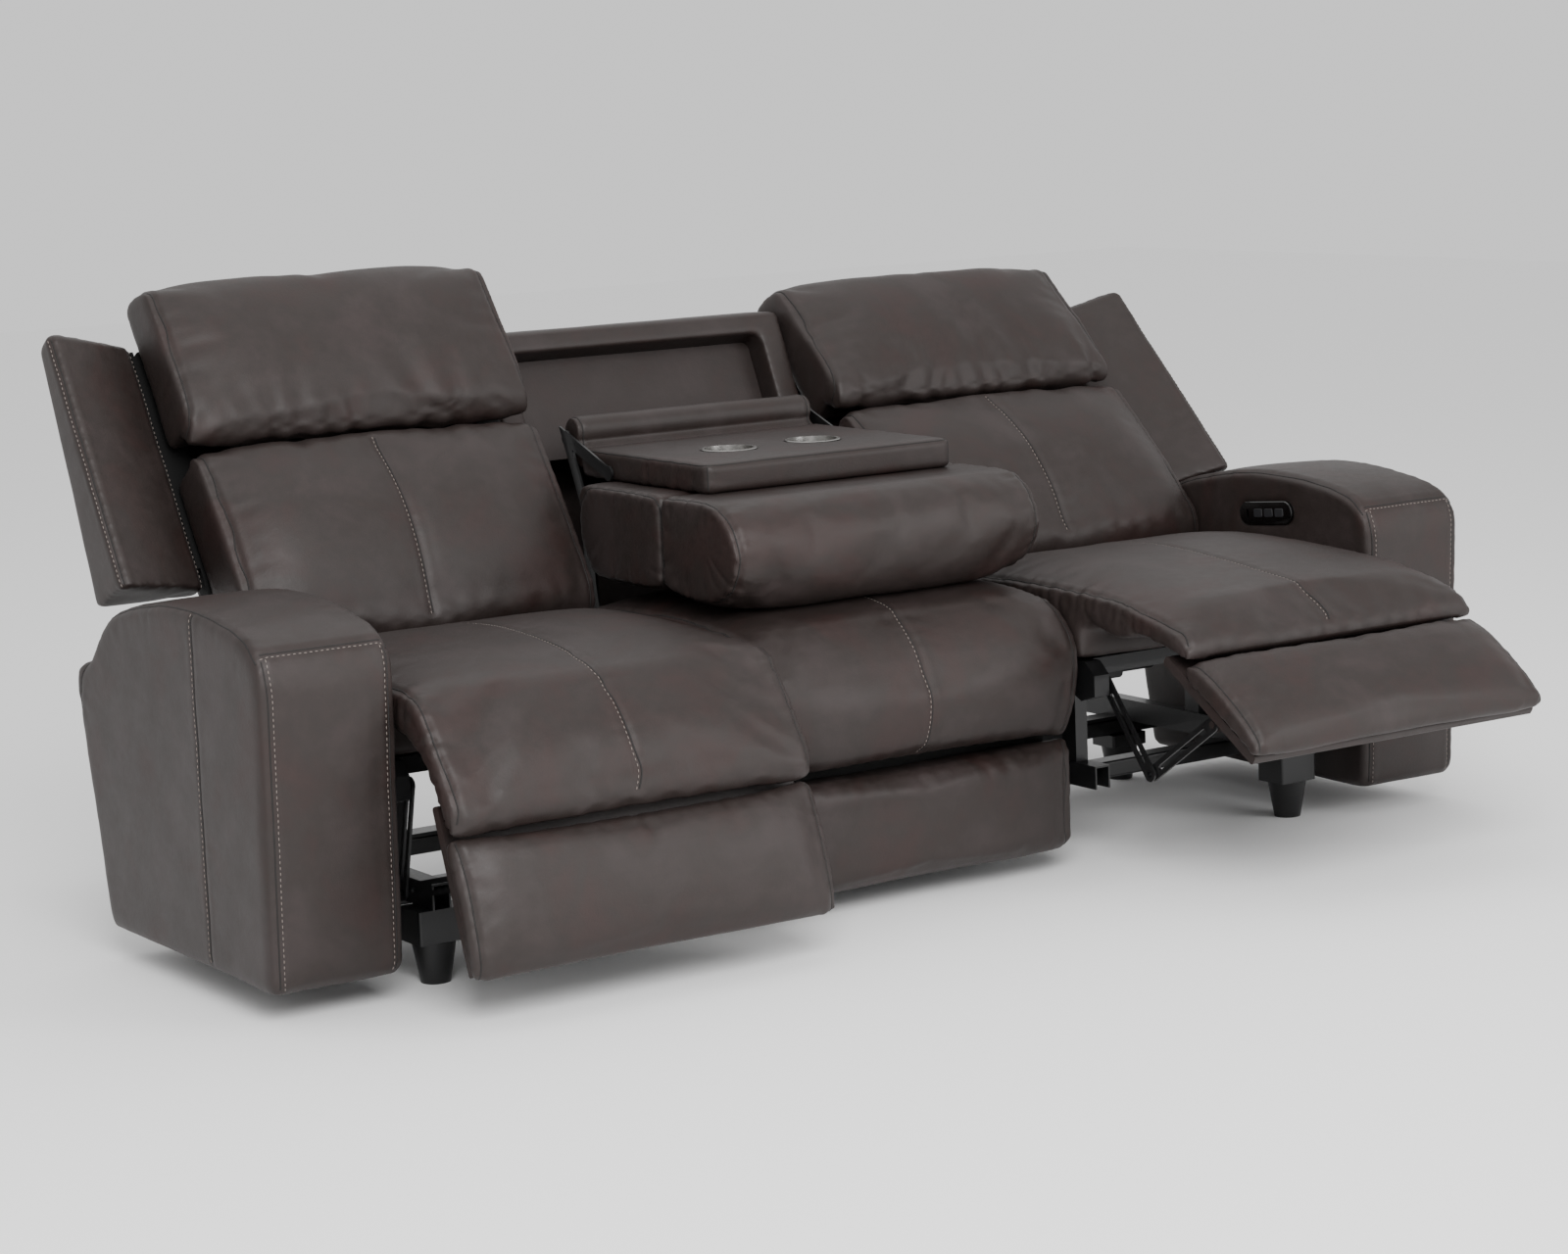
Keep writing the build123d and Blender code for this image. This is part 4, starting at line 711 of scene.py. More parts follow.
# ------------------------------------------------------------------ padded pieces
@dataclass
class Padding:
    """How one padded piece is made from its CAD solids."""

    name: str
    nodes: list[str]
    body: str
    seams: list[Seam] = field(default_factory=list)
    voxel: float = 8.0
    fill: float = 0.7
    crown: float = 0.0  # how far the cloth simulation may move a point, mm; 0 for none
    pressure: float = 4.0
    slack: float = 0.014  # how much larger the leather is cut than the shape it covers
    unevenness: float = 0.7  # height of the slow waves of the surface, mm
    side_free: float = 1.5  # how far a point may move along the sofa, mm
    seed: int = 1
    blended: tuple[str, Vector, Vector] | None = None
    extra: Mesh | None = None
    smooth: int = 3
    cavity: tuple[Vector, Vector] | None = None
    still: list[Region] = field(default_factory=list)  # regions that may not swell
    frames: int = 20

    def _held_still(self, points: np.ndarray) -> np.ndarray:
        """Which points lie in a region that may not swell; a region is where all its half spaces meet."""
        out = np.zeros(len(points), bool)
        for region in self.still:
            inside = np.ones(len(points), bool)
            for spot, way in region:
                inside &= (points - np.array(spot)) @ np.array(way) > 0
            out |= inside
        return out

    def _solid(self) -> Object:
        """Copy the CAD solids into one closed skin of even faces."""
        work = bmesh.new()
        for node in self.nodes:
            piece = bmesh.new()
            piece.from_mesh(frame["nodes"][node].data)
            bmesh.ops.remove_doubles(piece, verts=piece.verts, dist=1e-6)
            if self.cavity:
                low, high = self.cavity
                inside = [v for v in piece.verts if all(low[i] <= v.co[i] <= high[i] for i in range(3))]
                bmesh.ops.delete(piece, geom=inside, context="VERTS")
                bmesh.ops.holes_fill(piece, edges=[e for e in piece.edges if e.is_boundary], sides=0)
                bmesh.ops.triangulate(piece, faces=piece.faces)
            holder = bpy.data.meshes.new("holder")
            piece.to_mesh(holder)
            piece.free()
            work.from_mesh(holder)
            bpy.data.meshes.remove(holder)
        if self.extra:
            work.from_mesh(self.extra)
        mesh = bpy.data.meshes.new(self.name)
        work.to_mesh(mesh)
        work.free()
        obj = add_object(self.name, mesh)
        remesh = obj.modifiers.new("skin", "REMESH")
        remesh.mode = "VOXEL"
        remesh.voxel_size = self.voxel * MM
        remesh.use_smooth_shade = True
        even = obj.modifiers.new("even", "SMOOTH")
        even.factor = 0.5
        even.iterations = self.smooth
        settle(obj)
        return obj

    @staticmethod
    def _beside(points: np.ndarray, line: Line, reach: float) -> tuple[np.ndarray, np.ndarray, np.ndarray]:
        """Points near a line.

        Args:
            points: Points of the mesh.
            line: Points of the line, in order.
            reach: Greatest distance that counts, in metres.

        Returns:
            Numbers of the near points, their distances, and how far along the line they are.
        """
        along = np.concatenate([[0.0], np.cumsum([(b - a).length for a, b in zip(line, line[1:])])])
        array = np.array(line)
        low, high = array.min(0) - reach, array.max(0) + reach
        finder = KDTree(len(line))
        for i, p in enumerate(line):
            finder.insert(p, i)
        finder.balance()
        keep, distance, place = [], [], []
        for i in np.nonzero(((points > low) & (points < high)).all(1))[0]:
            _, k, d = finder.find(points[i])
            if d < reach:
                keep.append(i)
                distance.append(d)
                place.append(along[k])
        return np.array(keep, int), np.array(distance), np.array(place)

    @staticmethod
    def _even_out(obj: Object, values: np.ndarray, rounds: int) -> np.ndarray:
        """Average a row of values of every vertex with its neighbours' rows, a number of times."""
        edges = np.zeros(len(obj.data.edges) * 2, int)
        obj.data.edges.foreach_get("vertices", edges)
        a, b = edges.reshape(-1, 2).T
        count = np.bincount(a, minlength=len(values)) + np.bincount(b, minlength=len(values))
        for _ in range(rounds):
            total = np.zeros_like(values)
            np.add.at(total, a, values[b])
            np.add.at(total, b, values[a])
            values = 0.5 * values + 0.5 * total / np.maximum(count, 1)[:, None]
        return values

    def _pin(self, obj: Object, rest: np.ndarray) -> None:
        """Hold the skin at its seams and where it rests on its carrier, and its ends a little."""
        ends_hold, seam_hold, seam_reach, end_facing = 0.6, 1.0, 0.011, 0.8
        tree, held = surface_tree(obj), np.zeros(len(rest))
        for seam in self.seams:
            if seam.pinned:
                near, _, _ = self._beside(rest, lay(seam.path, tree)[0], seam_reach)
                held[near] = seam_hold
        ends = np.abs(read_vectors(obj.data.vertex_normals, "vector")[:, 0]) > end_facing
        held[ends] = np.maximum(held[ends], ends_hold)
        held[self._held_still(rest)] = seam_hold
        pins = obj.vertex_groups.new(name="held")
        for weight in (ends_hold, seam_hold):
            numbers = np.nonzero(held == weight)[0].tolist()
            if numbers:
                pins.add(numbers, weight, "REPLACE")

    def _inflate(self, obj: Object) -> None:
        """Swell the skin with a cloth simulation."""
        rest = read_vectors(obj.data.vertices, "co")
        self._pin(obj, rest)
        cloth = obj.modifiers.new("cloth", "CLOTH")
        leather = {
            "quality": 4,
            "mass": 0.4,
            "tension_stiffness": 12,
            "compression_stiffness": 12,
            "shear_stiffness": 6,
            "bending_stiffness": 1.5,
            "use_pressure": True,
            "uniform_pressure_force": self.pressure,
            "shrink_min": -self.slack,
            "vertex_group_mass": "held",
        }
        for key, value in leather.items():
            setattr(cloth.settings, key, value)
        cloth.settings.effector_weights.gravity = 0.0
        cloth.collision_settings.use_collision = False
        cloth.collision_settings.use_self_collision = False
        cloth.point_cache.frame_start = 1
        cloth.point_cache.frame_end = self.frames
        scene = bpy.context.scene
        for number in range(1, self.frames + 1):
            scene.frame_set(number)
        settle(obj)
        obj.vertex_groups.clear()
        scene.frame_set(1)
        moved = self._even_out(obj, read_vectors(obj.data.vertices, "co") - rest, 4)
        moved[:, 0] = np.clip(moved[:, 0], -self.side_free * MM, self.side_free * MM)
        length = np.linalg.norm(moved, axis=1)
        cap = self.crown * MM
        scale = np.where(length > 1e-9, cap * np.tanh(length / cap) / np.maximum(length, 1e-9), 1.0)
        move_points(obj, rest + moved * scale[:, None])

    @staticmethod
    def _gathers(seam: Seam, place: np.ndarray, distance: np.ndarray, seed: int) -> np.ndarray:
        """Height of the gathers beside a seam: creases of uneven spacing, length and slant, with soft ridges.

        Args:
            seam: The seam.
            place: How far along the seam each point is, in metres.
            distance: How far from the seam it is, in metres.
            seed: Seed of the creases.

        Returns:
            The height at each point, in metres.
        """
        rng = np.random.default_rng(seed)
        out, spot = np.zeros(len(place)), 0.0
        reach, seam_edge = seam.reach * MM, 0.005
        while True:
            spot += seam.pitch * MM * rng.uniform(0.55, 1.5)
            if spot > place.max():
                return out * seam.pucker * MM
            strong = rng.uniform(0.25, 1.0) ** 1.3
            length = reach * rng.uniform(0.5, 1.5)
            slant = rng.uniform(-0.4, 0.4)
            width = max(4.5, seam.pitch * rng.uniform(0.16, 0.26)) * MM * (1 + 0.8 * distance / reach)
            across = np.abs(place - spot - slant * distance) / width
            fade = bell(distance / length) * (1 - 0.6 * bell(distance / seam_edge))
            out += strong * fade * (0.5 * bell((across - 2.0) / 0.95) - bell(across))

    def _carve(self, obj: Object) -> None:
        """Draw the skin in along its seams and gather it beside them."""
        ridge, side_facing, side_swell = 0.3, 0.85, 0.4 * MM
        points = read_vectors(obj.data.vertices, "co")
        normals = read_vectors(obj.data.vertex_normals, "vector")
        tree = surface_tree(obj)
        shift = Waves(self.seed, 3, 0.07, 0.28)(points) * self.unevenness * MM * 0.5
        for number, seam in enumerate(self.seams):
            line, _ = lay(seam.path, tree)
            near, distance, place = self._beside(points, line, max(seam.reach * 2.6, seam.width * 3) * MM)
            if not len(near):
                continue
            width, depth = seam.width * MM, seam.depth * MM
            shift[near] -= depth * bell(distance / width)
            if depth > 0:
                shift[near] += ridge * depth * bell((distance - 2.1 * width) / width)
            if seam.pucker > 0:
                shift[near] += self._gathers(seam, place, distance, self.seed * 31 + number)
        side = np.abs(normals[:, 0]) > side_facing
        shift[side] = np.minimum(shift[side], side_swell)
        still = self._held_still(points)
        shift[still] = np.minimum(shift[still], 0)
        move_points(obj, points + normals * shift[:, None])

    def build(self) -> None:
        """Make the piece, dress it and hand it to its body."""
        obj = self._solid()
        if self.crown:
            self._inflate(obj)
        divide = obj.modifiers.new("finer", "SUBSURF")
        divide.levels = divide.render_levels = 1
        settle(obj)
        self._carve(obj)
        tree = surface_tree(obj)
        for seam in self.seams:
            if seam.fold or seam.rows:
                SEAMS.note(self.name if self.blended else self.body, seam, tree)
        FINISHES.dress(obj.data, Finish.LEATHER)
        obj.data.shade_smooth()
        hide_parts(*self.nodes)
        if self.blended:
            other, start, end = self.blended
            SEAMS.blends[self.name] = (self.body, other, start, end)
            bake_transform(obj)
        else:
            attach(obj, self.body)
        log.info("%s: %d faces", self.name, len(obj.data.polygons))


# ------------------------------------------------------------------ sub-assemblies
@dataclass
class RecliningSeat:
    """One reclining seat: seat and flap in one cover, footrest, back, headrest, wing and rear cover."""

    pose: SeatPose
    inner: float = SEAT_INNER
    outer: float = SEAT_OUTER
    nose: float = 56.0
    edge: float = 9.0  # distance of a cushion's edge seams from its ends
    sections: int = 13  # outlines of a filling, from end to end

    def _x(self, value: float) -> float:
        """An x on this seat's side, given by its distance from the sofa's middle."""
        return self.pose.hand.value * value

    def _ends(self, inset: float) -> Spot:
        """X of the two ends of a line that stops short of the cushion's ends."""
        return self._x(self.inner + inset), self._x(self.outer - inset)

    def _middle(self) -> float:
        """X of the seat's middle."""
        return self._x((self.inner + self.outer) / 2)

    def _across(self, inset: float) -> list[tuple[float, float]]:
        """X of each outline of a filling, and how full it is there."""
        places = [i / (self.sections - 1) for i in range(self.sections)]
        width = self.outer - self.inner - 2 * inset
        return [(self._x(self.inner + inset + width * t), fullness(t)) for t in places]

    def _pad(self, name: str, nodes: list[str], body: str, seams: list[Seam], seed: int, **how) -> None:
        """Make one padded piece of this seat, named without its hand; what else it takes is Padding's."""
        hand = self.pose.hand
        names = [f"{node}_{hand.word}" for node in nodes]
        Padding(f"{name}_{hand.word}", names, f"{body}_{hand.word}", seams, seed=seed, **how).build()

    def _seat_top(self, x: float, rise: float, start: float = 396.0, stop: float = 150.0) -> Line:
        """Line over the seat, round its nose and down the flap.

        Args:
            x: Where it runs, in mm.
            rise: How far above the cushion's side edge it is looked for, in mm.
            start: Where on the seat it starts, in mm.
            stop: Where on the flap it ends, in mm.

        Returns:
            The line's points.
        """
        seat, flap, (y, z) = self.pose.seat(), self.pose.flap(), self.pose.flap_pivot
        line = seat.path(x, [(u, 453 + rise) for u in (start, 300, 200, 100, 40, 0)])
        line.append(seat.at(x, y, 446 + rise))
        bend = math.pi / 2 - self.pose.flap_angle
        steps = int(math.degrees(bend) / 12) + 1
        r = self.nose + rise
        turns = [bend * i / steps for i in range(1, steps)]
        line += seat.path(x, [(y - r * math.sin(a), z + r * math.cos(a)) for a in turns])
        line += flap.path(x, [(u, 56 + rise) for u in (0, 40, 80, 120, stop)])
        line.append(flap.at(x, stop + 12, 38 + rise * 0.5))
        return line

    def _nose_fill(self) -> Mesh:
        """Filling under the stretched cover between the seat's crown, its nose and the flap's crown."""
        shift, (py, pz), rows = self.pose.shift, self.pose.flap_pivot, []
        seat_middle, seat_half, flap_middle, flap_half = 187, 209, 85, 62
        for x, full in self._across(2):
            crown = 11 - 9 * (1 - full) + 14 * full
            bow = [(y, 1 - ((y - seat_middle) / seat_half) ** 2) for y in range(-20, 320, 20)]
            line = [(y + shift, 446 + crown * rise) for y, rise in bow]
            for step in range(0, 13):
                a = math.pi / 2 + step * math.radians(10)
                line.append((shift + py + self.nose * math.cos(a), pz + self.nose * math.sin(a)))
            for u in range(30, 150, 10):
                w = 58 - 6 * (1 - full) + 15 * full * max(0.0, 1 - ((u - flap_middle) / flap_half) ** 2)
                spot = self.pose.flap().at(0, u, w)
                line.append((spot.y / MM - SHIFT_Y, spot.z / MM))
            rows.append(WORLD.path(x, [*self._even(self._outside(line), 27), (shift - 18, 384)]))
        return lofted(rows)

    def _footrest_fill(self) -> Mesh:
        """Filling that makes the footrest pad plump right from its hinge."""
        outline = (4, 2), (6, 14), (13, 25), (30, 32), (60, 35), (95, 34), (130, 30), (160, 23), (184, 14)
        under = (197, 2), (197, -8), (6, -8)
        rows = []
        for x, full in self._across(3):
            rise = 0.42 + 0.58 * full
            spots = [(u, w * rise if w > 0 else w) for u, w in outline + under]
            rows.append(self.pose.footrest().path(x, spots))
        return lofted(rows)

    def _headrest_lip(self) -> Mesh:
        """Filling that lets the headrest's lower edge hang over the back cushion."""
        lip = (-60, 470), (-99, 600), (-106, 560), (-109, 522), (-110, 490), (-109, 462), (-105, 440)
        under = (-98, 426), (-88, 418), (-76, 419), (-66, 426), (-60, 440)
        (rear, low), rows = lip[0], []
        for x, full in self._across(3):
            full = 0.55 + 0.45 * full
            deep, hang = 0.9 + 0.1 * full, 0.7 + 0.3 * full
            spots = [(rear + (u - rear) * deep, low + (v - low) * hang if v < low else v) for u, v in lip + under]
            rows.append(self.pose.back().path(x, spots))
        return lofted(rows)

    @staticmethod
    def _outside(points: list[Spot]) -> list[Spot]:
        """Upper side of the convex hull, from the rear of the seat to the end of the flap."""
        chain: list[Spot] = []
        for y, z in sorted(set(points), reverse=True):
            while len(chain) > 1:
                (a, b), (c, d) = chain[-2:]
                if (c - a) * (z - b) - (d - b) * (y - a) > 0:
                    break
                chain.pop()
            chain.append((y, z))
        return chain

    @staticmethod
    def _even(chain: list[Spot], count: int) -> list[Spot]:
        """Points at even distances along a chain."""
        array = np.array(chain)
        along = np.concatenate([[0], np.cumsum(np.hypot(*np.diff(array, axis=0).T))])
        places = np.linspace(0, along[-1], count)
        return list(zip(np.interp(places, along, array[:, 0]), np.interp(places, along, array[:, 1])))

    def seat(self) -> None:
        """Seat and flap under one cover that bends over the nose."""
        seat, flap, hand = self.pose.seat(), self.pose.flap(), self.pose.hand
        edges = self._ends(self.edge)
        seams = [welt(self._seat_top(x, 2), pucker=1.3, reach=28, pitch=24, depth=2.6) for x in edges]
        ruffle = {"fold": 0, "pucker": 3.2, "reach": 26, "pitch": 19, "depth": 0.8}
        seams += [welt(self._seat_top(x, -22, start=250, stop=120), **ruffle) for x in self._ends(-1)]
        centre_line = self._seat_top(self._middle(), 22, start=372, stop=146)
        seams.append(topstitch(centre_line, pucker=0.5, depth=2.0, pinned=False))
        lower_lip = flap.span(self._ends(34), 158, 36)
        seams.append(drawn(lower_lip, depth=-7.5, width=30, pucker=1.8, reach=50, pitch=46))
        along, out = (Vector((0, *axis)) for axis in (flap.first, flap.second))
        centre, under = flap.at(0, 0, 0), seat.at(0, 60, 346)
        nodes = ["seat_cushion", "chaise_flap"]
        self._pad(
            "seat_cover",
            nodes,
            "carriage",
            seams,
            11 + hand.value,
            voxel=8.5,
            crown=9.0,
            blended=(f"flap_{hand.word}", centre - along * 0.03, centre + along * 0.03),
            extra=self._nose_fill(),
            still=[
                [(flap.at(0, 15, 0), along), (flap.at(0, 0, 21), -out)],
                [(under, Vector((0, 1, 0))), (under, Vector((0, 0, -1)))],
            ],
            smooth=6,
        )

    def footrest(self) -> None:
        """Padded footrest face."""
        foot, seed = self.pose.footrest(), 23 + self.pose.hand.value
        profile = (5, 6), (20, 13), (60, 18), (100, 18), (150, 13), (186, 4), (203, -10)
        seams = [welt(foot.path(x, profile), pucker=1.2, reach=30, depth=2.4) for x in self._ends(8)]
        seams.append(drawn(foot.span(self._ends(20), 8, 14), depth=-1.5, width=16, pucker=1.5, reach=50, pitch=40))
        shape = {"voxel": 7.5, "crown": 7.0, "extra": self._footrest_fill()}
        self._pad("footrest_cover", ["footrest_pad"], "footrest", seams, seed, **shape)

    def back(self) -> None:
        """Back cushion with its end gussets and centre seam."""
        back, seed = self.pose.back(), 37 + self.pose.hand.value
        profile = (-72, 62), (-92, 70), (-104, 100), (-112, 180), (-112, 280), (-106, 360), (-98, 400), (-74, 414)
        seams = [welt(back.path(x, profile), pucker=0.8, reach=26, depth=2.4) for x in self._ends(self.edge)]
        centre_line = (-108, 400), (-118, 300), (-122, 200), (-118, 120), (-110, 92)
        seams.append(topstitch(back.path(self._middle(), centre_line), pucker=0.4, depth=2.2))
        ends = self._ends(30)
        seams.append(drawn(back.span(ends, -88, 412), depth=-5.0, width=30, pucker=1.6, reach=60, pitch=62))
        seams.append(drawn(back.span(ends, -106, 84), depth=-2.0, width=24, pucker=1.6, reach=48, pitch=48))
        self._pad("back_pad", ["back_cushion"], "back", seams, seed, voxel=8.0, crown=9.0)

    def headrest(self) -> None:
        """Headrest cushion with welted ends and gathers along its lower edge, which stays on the back."""
        hand, back = self.pose.hand, self.pose.back()
        front = (-70, 446), (-96, 450), (-104, 480), (-110, 560), (-106, 640), (-98, 690)
        profile = front + ((-60, 714), (-20, 720), (-3, 706))
        seams = [welt(back.path(x, profile), pucker=0.6, reach=22, depth=2.4) for x in self._ends(self.edge)]
        seams.append(drawn(back.span(self._ends(24), -108, 424), depth=0.0, pucker=4.0, reach=95, pitch=54))
        shape = {"voxel": 8.0, "crown": 8.0, "smooth": 8, "extra": self._headrest_lip()}
        blended = (f"back_{hand.word}", back.at(0, -45, 530), back.at(0, -45, 426))
        seed = 41 + hand.value
        self._pad("headrest_pad", ["headrest_cushion"], "headrest", seams, seed, blended=blended, **shape)

    def wing(self) -> None:
        """Padded wing with its two stitched edges."""
        back, sign = self.pose.back(), self.pose.hand.value
        inner = back.path(self._x(914), [(-3, v) for v in (228, 350, 500, 640)])
        outer = back.path(self._x(1071), [(-71, v) for v in (216, 350, 500, 640)])
        top = [back.at(self._x(916), 0, 652), back.at(self._x(1066), -68, 652)]
        seams = [
            Seam(inner, rows=(-5.5 * sign,), pucker=0.4, depth=1.8),
            Seam(outer, rows=(5.5 * sign,), pucker=0.4, depth=2.0),
            welt(top, fold=0, pucker=0.8, depth=1.0),
        ]
        shape = {"voxel": 5.8, "crown": 3.0, "slack": 0.0, "fill": 0.85, "smooth": 10}
        self._pad("wing_pad", ["wing"], "back", seams, 53 + sign, **shape)

    def rear(self) -> None:
        """Outer cover of the back."""
        self._pad("rear_cover", ["back_cover"], "back", [], 61, voxel=9.5, fill=0.9, unevenness=1.2)

    def build(self) -> None:
        """Make all padded pieces of the seat."""
        for make in (self.seat, self.footrest, self.back, self.headrest, self.wing, self.rear):
            make()


@dataclass
class PaddedArm:
    """One arm: cover with boxed front, stitched edges and side seam."""

    hand: Hand
    inner: float = 922.0  # where the front's inner seam runs
    outer: float = 1106.0  # where its outer seam runs
    side: float = 1120.0
    row: float = 6.5

    def build(self) -> None:
        """Make the cover."""
        s = self.hand.value
        front = (1, 52), (-8, 250), (-15, 470), (0, 514)
        crown = (0, 512), (30, 538), (84, 556), (170, 566), (265, 568), (350, 560), (430, 546), (500, 522)
        crown += (560, 478), (600, 430), (622, 360)
        seams = []
        for x, toward in ((self.outer, 1), (self.inner, -1)):
            row = -self.row * s * toward
            seams.append(topstitch(WORLD.path(s * x, front), row, 0.9, pucker=0.5, depth=2.0))
            seams.append(welt(WORLD.path(s * (x + 8 * toward), crown), pucker=0.5, depth=1.6))
        cross = WORLD.span((s * self.inner, s * self.outer), 4, 524)
        seams.append(topstitch(cross, self.row * s, 0.9, pucker=0.5, depth=1.8))
        side = WORLD.path(s * self.side, [(196, z) for z in (562, 400, 250, 60)])
        seams.append(topstitch(side, fold=0.6, pucker=0.4, depth=1.4))
        low, high = sorted((s * 935, s * 1095))
        Padding(
            f"arm_pad_{self.hand.word}",
            [f"arm_cover_{self.hand.word}"],
            "base",
            seams,
            voxel=9.2,
            crown=3.0,
            slack=0.0,
            fill=0.9,
            seed=71 + s,
            cavity=(WORLD.at(low, 16, 30), WORLD.at(high, 566, 480)),
            smooth=2,
            side_free=4.0,
        ).build()


def above(z: float) -> list[Region]:
    """Region above a height in mm, which may not swell."""
    return [[(WORLD.at(0, 0, z), Vector((0, 0, 1)))]]


@dataclass
class MiddleSeat:
    """Fixed middle seat and what stands behind it."""

    half: float = 300.333
    edge: float = 9.0

    def build(self) -> None:
        """Make its cushion, its lower panel, the surround of the recess and the rear cover."""
        edges = (self.edge - self.half, self.half - self.edge)
        ends = (26 - self.half, self.half - 26)
        top = [(492, 448), (400, 456), (300, 462), (200, 460), (120, 452), (70, 442)]
        top += [(12, 414), (-12, 372), (-14, 330), (-8, 280), (22, 224)]
        seams = [welt(WORLD.path(x, top), pucker=0.9, reach=26, depth=2.4) for x in edges]
        centre_line = WORLD.path(0, [(y - 6, z + 12) for y, z in top])
        seams.append(topstitch(centre_line, pucker=0.5, depth=2.0, pinned=False))
        seams.append(drawn(WORLD.span(ends, 22, 222), depth=0.5, pucker=1.2, reach=42, pitch=30))
        Padding("middle_cover", ["middle_cushion"], "base", seams, voxel=8.5, crown=9.0, seed=83).build()
        front = (30, 208), (8, 190), (4, 120), (6, 60), (40, 34)
        panel = [welt(WORLD.path(x, front), pucker=0.9, depth=2.0) for x in edges]
        panel.append(drawn(WORLD.span(ends, 18, 208), depth=0.5, pucker=1.6, reach=48, pitch=32))
        Padding("front_panel_cover", ["middle_front_panel"], "base", panel, voxel=7.5, crown=7.0, seed=89).build()
        ring = {"voxel": 7.0, "fill": 0.9, "seed": 91, "smooth": 2, "still": above(0)}
        Padding("surround_cover", ["middle_surround"], "base", **ring).build()
        skin = {"voxel": 8.5, "fill": 0.9, "seed": 93, "unevenness": 1.0}
        Padding("middle_rear_skin", ["middle_rear_cover"], "base", **skin).build()


@dataclass
class Console:
    """Folding middle back, laid down as a table."""

    half: float = 290.0
    board_half: float = 234.0
    roll_seam: float = 222.0
    cushion_top: float = 636.0

    def cushions(self) -> None:
        """Make the two cushions under the table."""
        still = above(self.cushion_top)
        lumbar = (290, 490), (286, 560), (290, 630), (400, 636), (500, 634), (524, 600), (526, 550), (498, 496)
        lumbar += (400, 488), (290, 490)
        ends = (9 - self.half, self.half - 9)
        seams = [welt(WORLD.path(x, lumbar), pucker=1.6, reach=36, depth=2.6) for x in ends]
        shape = {"voxel": 8.0, "still": still}
        Padding("lumbar_pad", ["console_cushion"], "console", seams, crown=7.0, seed=97, **shape).build()
        roll = (276, 500), (276, 630), (200, 636), (140, 632), (90, 610), (66, 560), (94, 504), (170, 484)
        roll += (232, 486), (276, 500)
        ends = (10 - self.half, self.half - 10)
        seams = [welt(WORLD.path(x, roll), pucker=2.2, reach=46, depth=2.8, pitch=30) for x in ends]
        Padding("head_roll_pad", ["console_head_roll"], "console", seams, crown=10.0, seed=101, **shape).build()

    def table(self) -> None:
        """Make the table's cover and the roll on its rear edge."""
        b = self.board_half
        corners = ((x, 228) for x in (-b + 3, b - 3))
        seams = [welt([WORLD.at(x, y, z) for z in (684, 644)], fold=0.8, pucker=0.5, depth=1.0) for x, y in corners]
        rim = [WORLD.at(x, y, 685) for x, y in ((2 - b, 606), (2 - b, 230), (b - 2, 230), (b - 2, 606))]
        seams.append(welt(rim, fold=0.7, pucker=0.3, depth=0.8, width=4))
        pleats = {"fold": 0, "pucker": 1.6, "reach": 34, "pitch": 34, "depth": 0.3}
        seams += [welt(WORLD.path(x, [(250, 650), (540, 650)]), **pleats) for x in (-b, b)]
        board = {"voxel": 6.2, "fill": 0.95, "seed": 103, "unevenness": 0.5, "smooth": 1}
        Padding("table_cover", ["table_board"], "console", seams, **board).build()
        ring = (612, 658), (608, 700), (618, 733), (650, 736), (664, 715), (662, 662)
        caps = {"fold": 0.8, "pucker": 0.6, "reach": 16, "pitch": 16, "depth": 1.4, "width": 4}
        seams = [welt(WORLD.path(x, ring), **caps) for x in (-self.roll_seam, self.roll_seam)]
        roll = {"voxel": 5.2, "fill": 0.9, "seed": 107, "smooth": 2}
        Padding("end_roll_pad", ["console_end_roll"], "console", seams, **roll).build()

    def build(self) -> None:
        """Make all padded pieces of the console."""
        self.cushions()
        self.table()


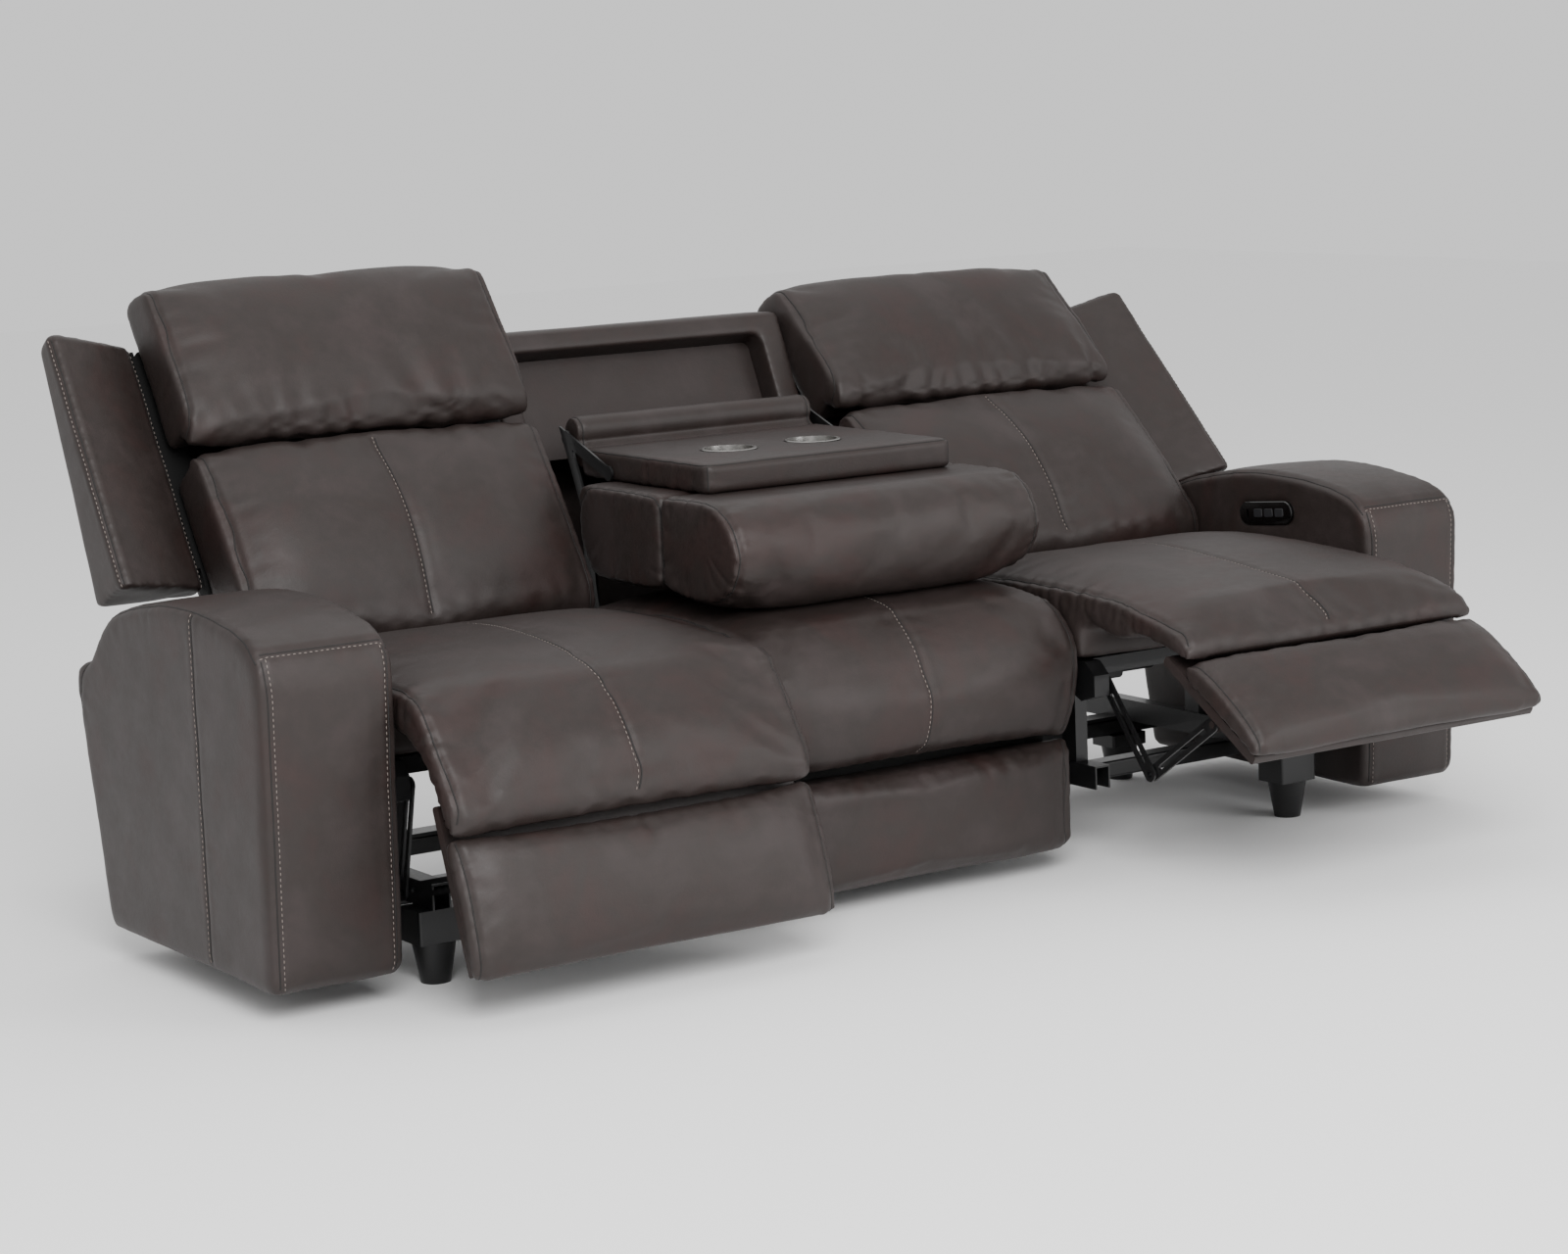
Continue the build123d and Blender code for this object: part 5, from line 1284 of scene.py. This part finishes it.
# ------------------------------------------------------------------ hard parts
@dataclass
class Hardware:
    """Finishes of the hard CAD nodes, and the rivets of the footrest linkage."""

    rivet: dict[str, float] = field(default_factory=lambda: {"Radius": 9.0, "Height": 3.4})
    seat_pivot: Spot = (60.0, 300.0)
    bracket_pin: Spot = (52.0, -84.0)
    rear_link: float = 169.0
    front_link: float = 176.0
    inset: float = 40.0  # from the seat's ends to the link pairs
    lift: float = 1.2  # from a link's face to the rivet's middle

    def dress(self) -> None:
        """Give every CAD node that stays in sight its own finish."""
        choice = {
            "black_steel": Finish.BLACK_STEEL,
            "spring_steel": Finish.WIRE,
            "cup_steel": Finish.SPUN_STEEL,
            "wood": Finish.PLYWOOD,
            "panel_plastic": Finish.GLOSS_BLACK,
            "button_plastic": Finish.MATT_BLACK,
            "drive_plastic": Finish.NYLON,
            "foot_plastic": Finish.NYLON,
            "lining_fabric": Finish.LEATHER,
            "leather": Finish.LEATHER,
        }
        special = {f"back_frame_{hand.word}": Finish.PRIMED_STEEL for hand in Hand}
        # The deck's black cloth is partly its own colour, partly painted shade for the gap between the middle cushion
        # and its front panel.
        special["middle_deck"] = Finish.DUST_CLOTH_AND_SHADE
        slots = {part["node"]: part["material_slot"] for part in frame["record"]["subparts"]}
        for name, obj in frame["nodes"].items():
            FINISHES.dress(obj.data, special.get(name, choice[slots[name]]))

    def rivets(self, pose: SeatPose) -> None:
        """Set rivet heads on the link pivots of one seat, each on the body it belongs to."""
        s = pose.hand.value
        top = (self.seat_pivot[0] + pose.shift, self.seat_pivot[1])
        pin = pose.footrest().at(0, *self.bracket_pin)
        end = (pin.y / MM - SHIFT_Y, pin.z / MM)
        dy, dz = end[0] - top[0], end[1] - top[1]
        reach = math.hypot(dy, dz)
        part = (self.rear_link**2 + reach**2 - self.front_link**2) / (2 * reach)
        rise = math.sqrt(self.rear_link**2 - part**2)
        elbow = (top[0] + (part * dy - rise * dz) / reach, top[1] + (part * dz + rise * dy) / reach)
        inner, outer = SEAT_INNER + self.inset, SEAT_OUTER - self.inset
        tree = rivet_tree()
        for body, spot, depth in (("rear_links", top, 10), ("front_links", elbow, 16), ("footrest", end, 22)):
            places = [(s * (x + way * self.lift), s * way) for x, way in ((inner + depth, 1), (outer - depth, -1))]
            mesh = bpy.data.meshes.new("spots")
            mesh.from_pydata([tuple(WORLD.at(x, *spot)) for x, _ in places], [], [])
            facing = mesh.attributes.new("facing", "FLOAT_VECTOR", "POINT")
            facing.data.foreach_set("vector", [v for _, way in places for v in (way, 0.0, 0.0)])
            obj = grow(f"rivets_{body}_{pose.hand.word}", mesh, tree, self.rivet, Finish.ZINC)
            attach(obj, f"{body}_{pose.hand.word}")


# ------------------------------------------------------------------ studio
@dataclass
class Studio:
    """Pale floor, soft light and the camera at the photograph's place."""

    place: tuple[float, float, float] = (-3154.0825, -4386.6703, 1290.8301)
    azimuth: float = -0.5845
    pitch: float = 0.1564
    roll: float = -0.0384
    focal_px: float = 3640.8731
    width_px: float = 1600.0
    sensor_mm: float = 36.0

    def camera(self) -> None:
        """Set the camera."""
        a, p, r = self.azimuth, self.pitch, self.roll
        forward = Vector((-math.sin(a) * math.cos(p), math.cos(a) * math.cos(p), -math.sin(p)))
        level = Vector((math.cos(a), math.sin(a), 0.0))
        upright = level.cross(forward)
        right = level * math.cos(r) + upright * math.sin(r)
        up = upright * math.cos(r) - level * math.sin(r)
        data = bpy.data.cameras.new("camera")
        data.sensor_fit = "HORIZONTAL"
        data.sensor_width = self.sensor_mm
        data.lens = self.focal_px / self.width_px * self.sensor_mm
        data.clip_end = 100.0
        obj = add_object("camera", data)
        turn = Matrix((right, up, -forward)).transposed().to_4x4()
        obj.matrix_world = Matrix.Translation(WORLD.at(*self.place)) @ turn
        bpy.context.scene.camera = obj

    def floor(self) -> None:
        """Lay the floor."""
        mesh = bpy.data.meshes.new("studio_floor")
        mesh.from_pydata([(-12, -12, 0), (12, -12, 0), (12, 14, 0), (-12, 14, 0)], [], [(0, 1, 2, 3)])
        material, _, shader = new_material("paper_floor")
        shader.inputs["Base Color"].default_value = colour("FAFAFA")
        shader.inputs["Roughness"].default_value = 0.9
        mesh.materials.append(material)
        add_object("studio_floor", mesh)

    def lights(self) -> None:
        """Hang the soft lights."""
        world = bpy.data.worlds.new("studio")
        world.use_nodes = True
        world.node_tree.nodes["Background"].inputs[0].default_value = (1, 1, 1, 1)
        world.node_tree.nodes["Background"].inputs[1].default_value = 0.95
        bpy.context.scene.world = world
        target = Vector((0, 0, 0.5))
        for name, place, size, power in (
            ("key", (-1.9, -3.9, 3.3), 2.8, 258.0),
            ("fill", (2.6, -4.2, 1.9), 2.6, 85.0),
            ("top", (0.2, 1.0, 3.8), 3.2, 30.0),
        ):
            data = bpy.data.lights.new(name, "AREA")
            data.size = size
            data.energy = power
            spot = Vector(place)
            turn = (target - spot).to_track_quat("-Z", "Y").to_matrix().to_4x4()
            add_object(name, data).matrix_world = Matrix.Translation(spot) @ turn

    def build(self) -> None:
        """Set up the whole studio."""
        self.camera()
        self.floor()
        self.lights()


def main() -> None:
    """Build the dressed sofa."""
    logging.basicConfig(level=logging.INFO, format="%(message)s")
    Studio().build()
    hardware = Hardware()
    hardware.dress()
    for pose in POSES:
        RecliningSeat(pose).build()
        hardware.rivets(pose)
    for hand in Hand:
        PaddedArm(hand).build()
    MiddleSeat().build()
    Console().build()
    SEAMS.make()


if __name__ == "__main__":
    main()
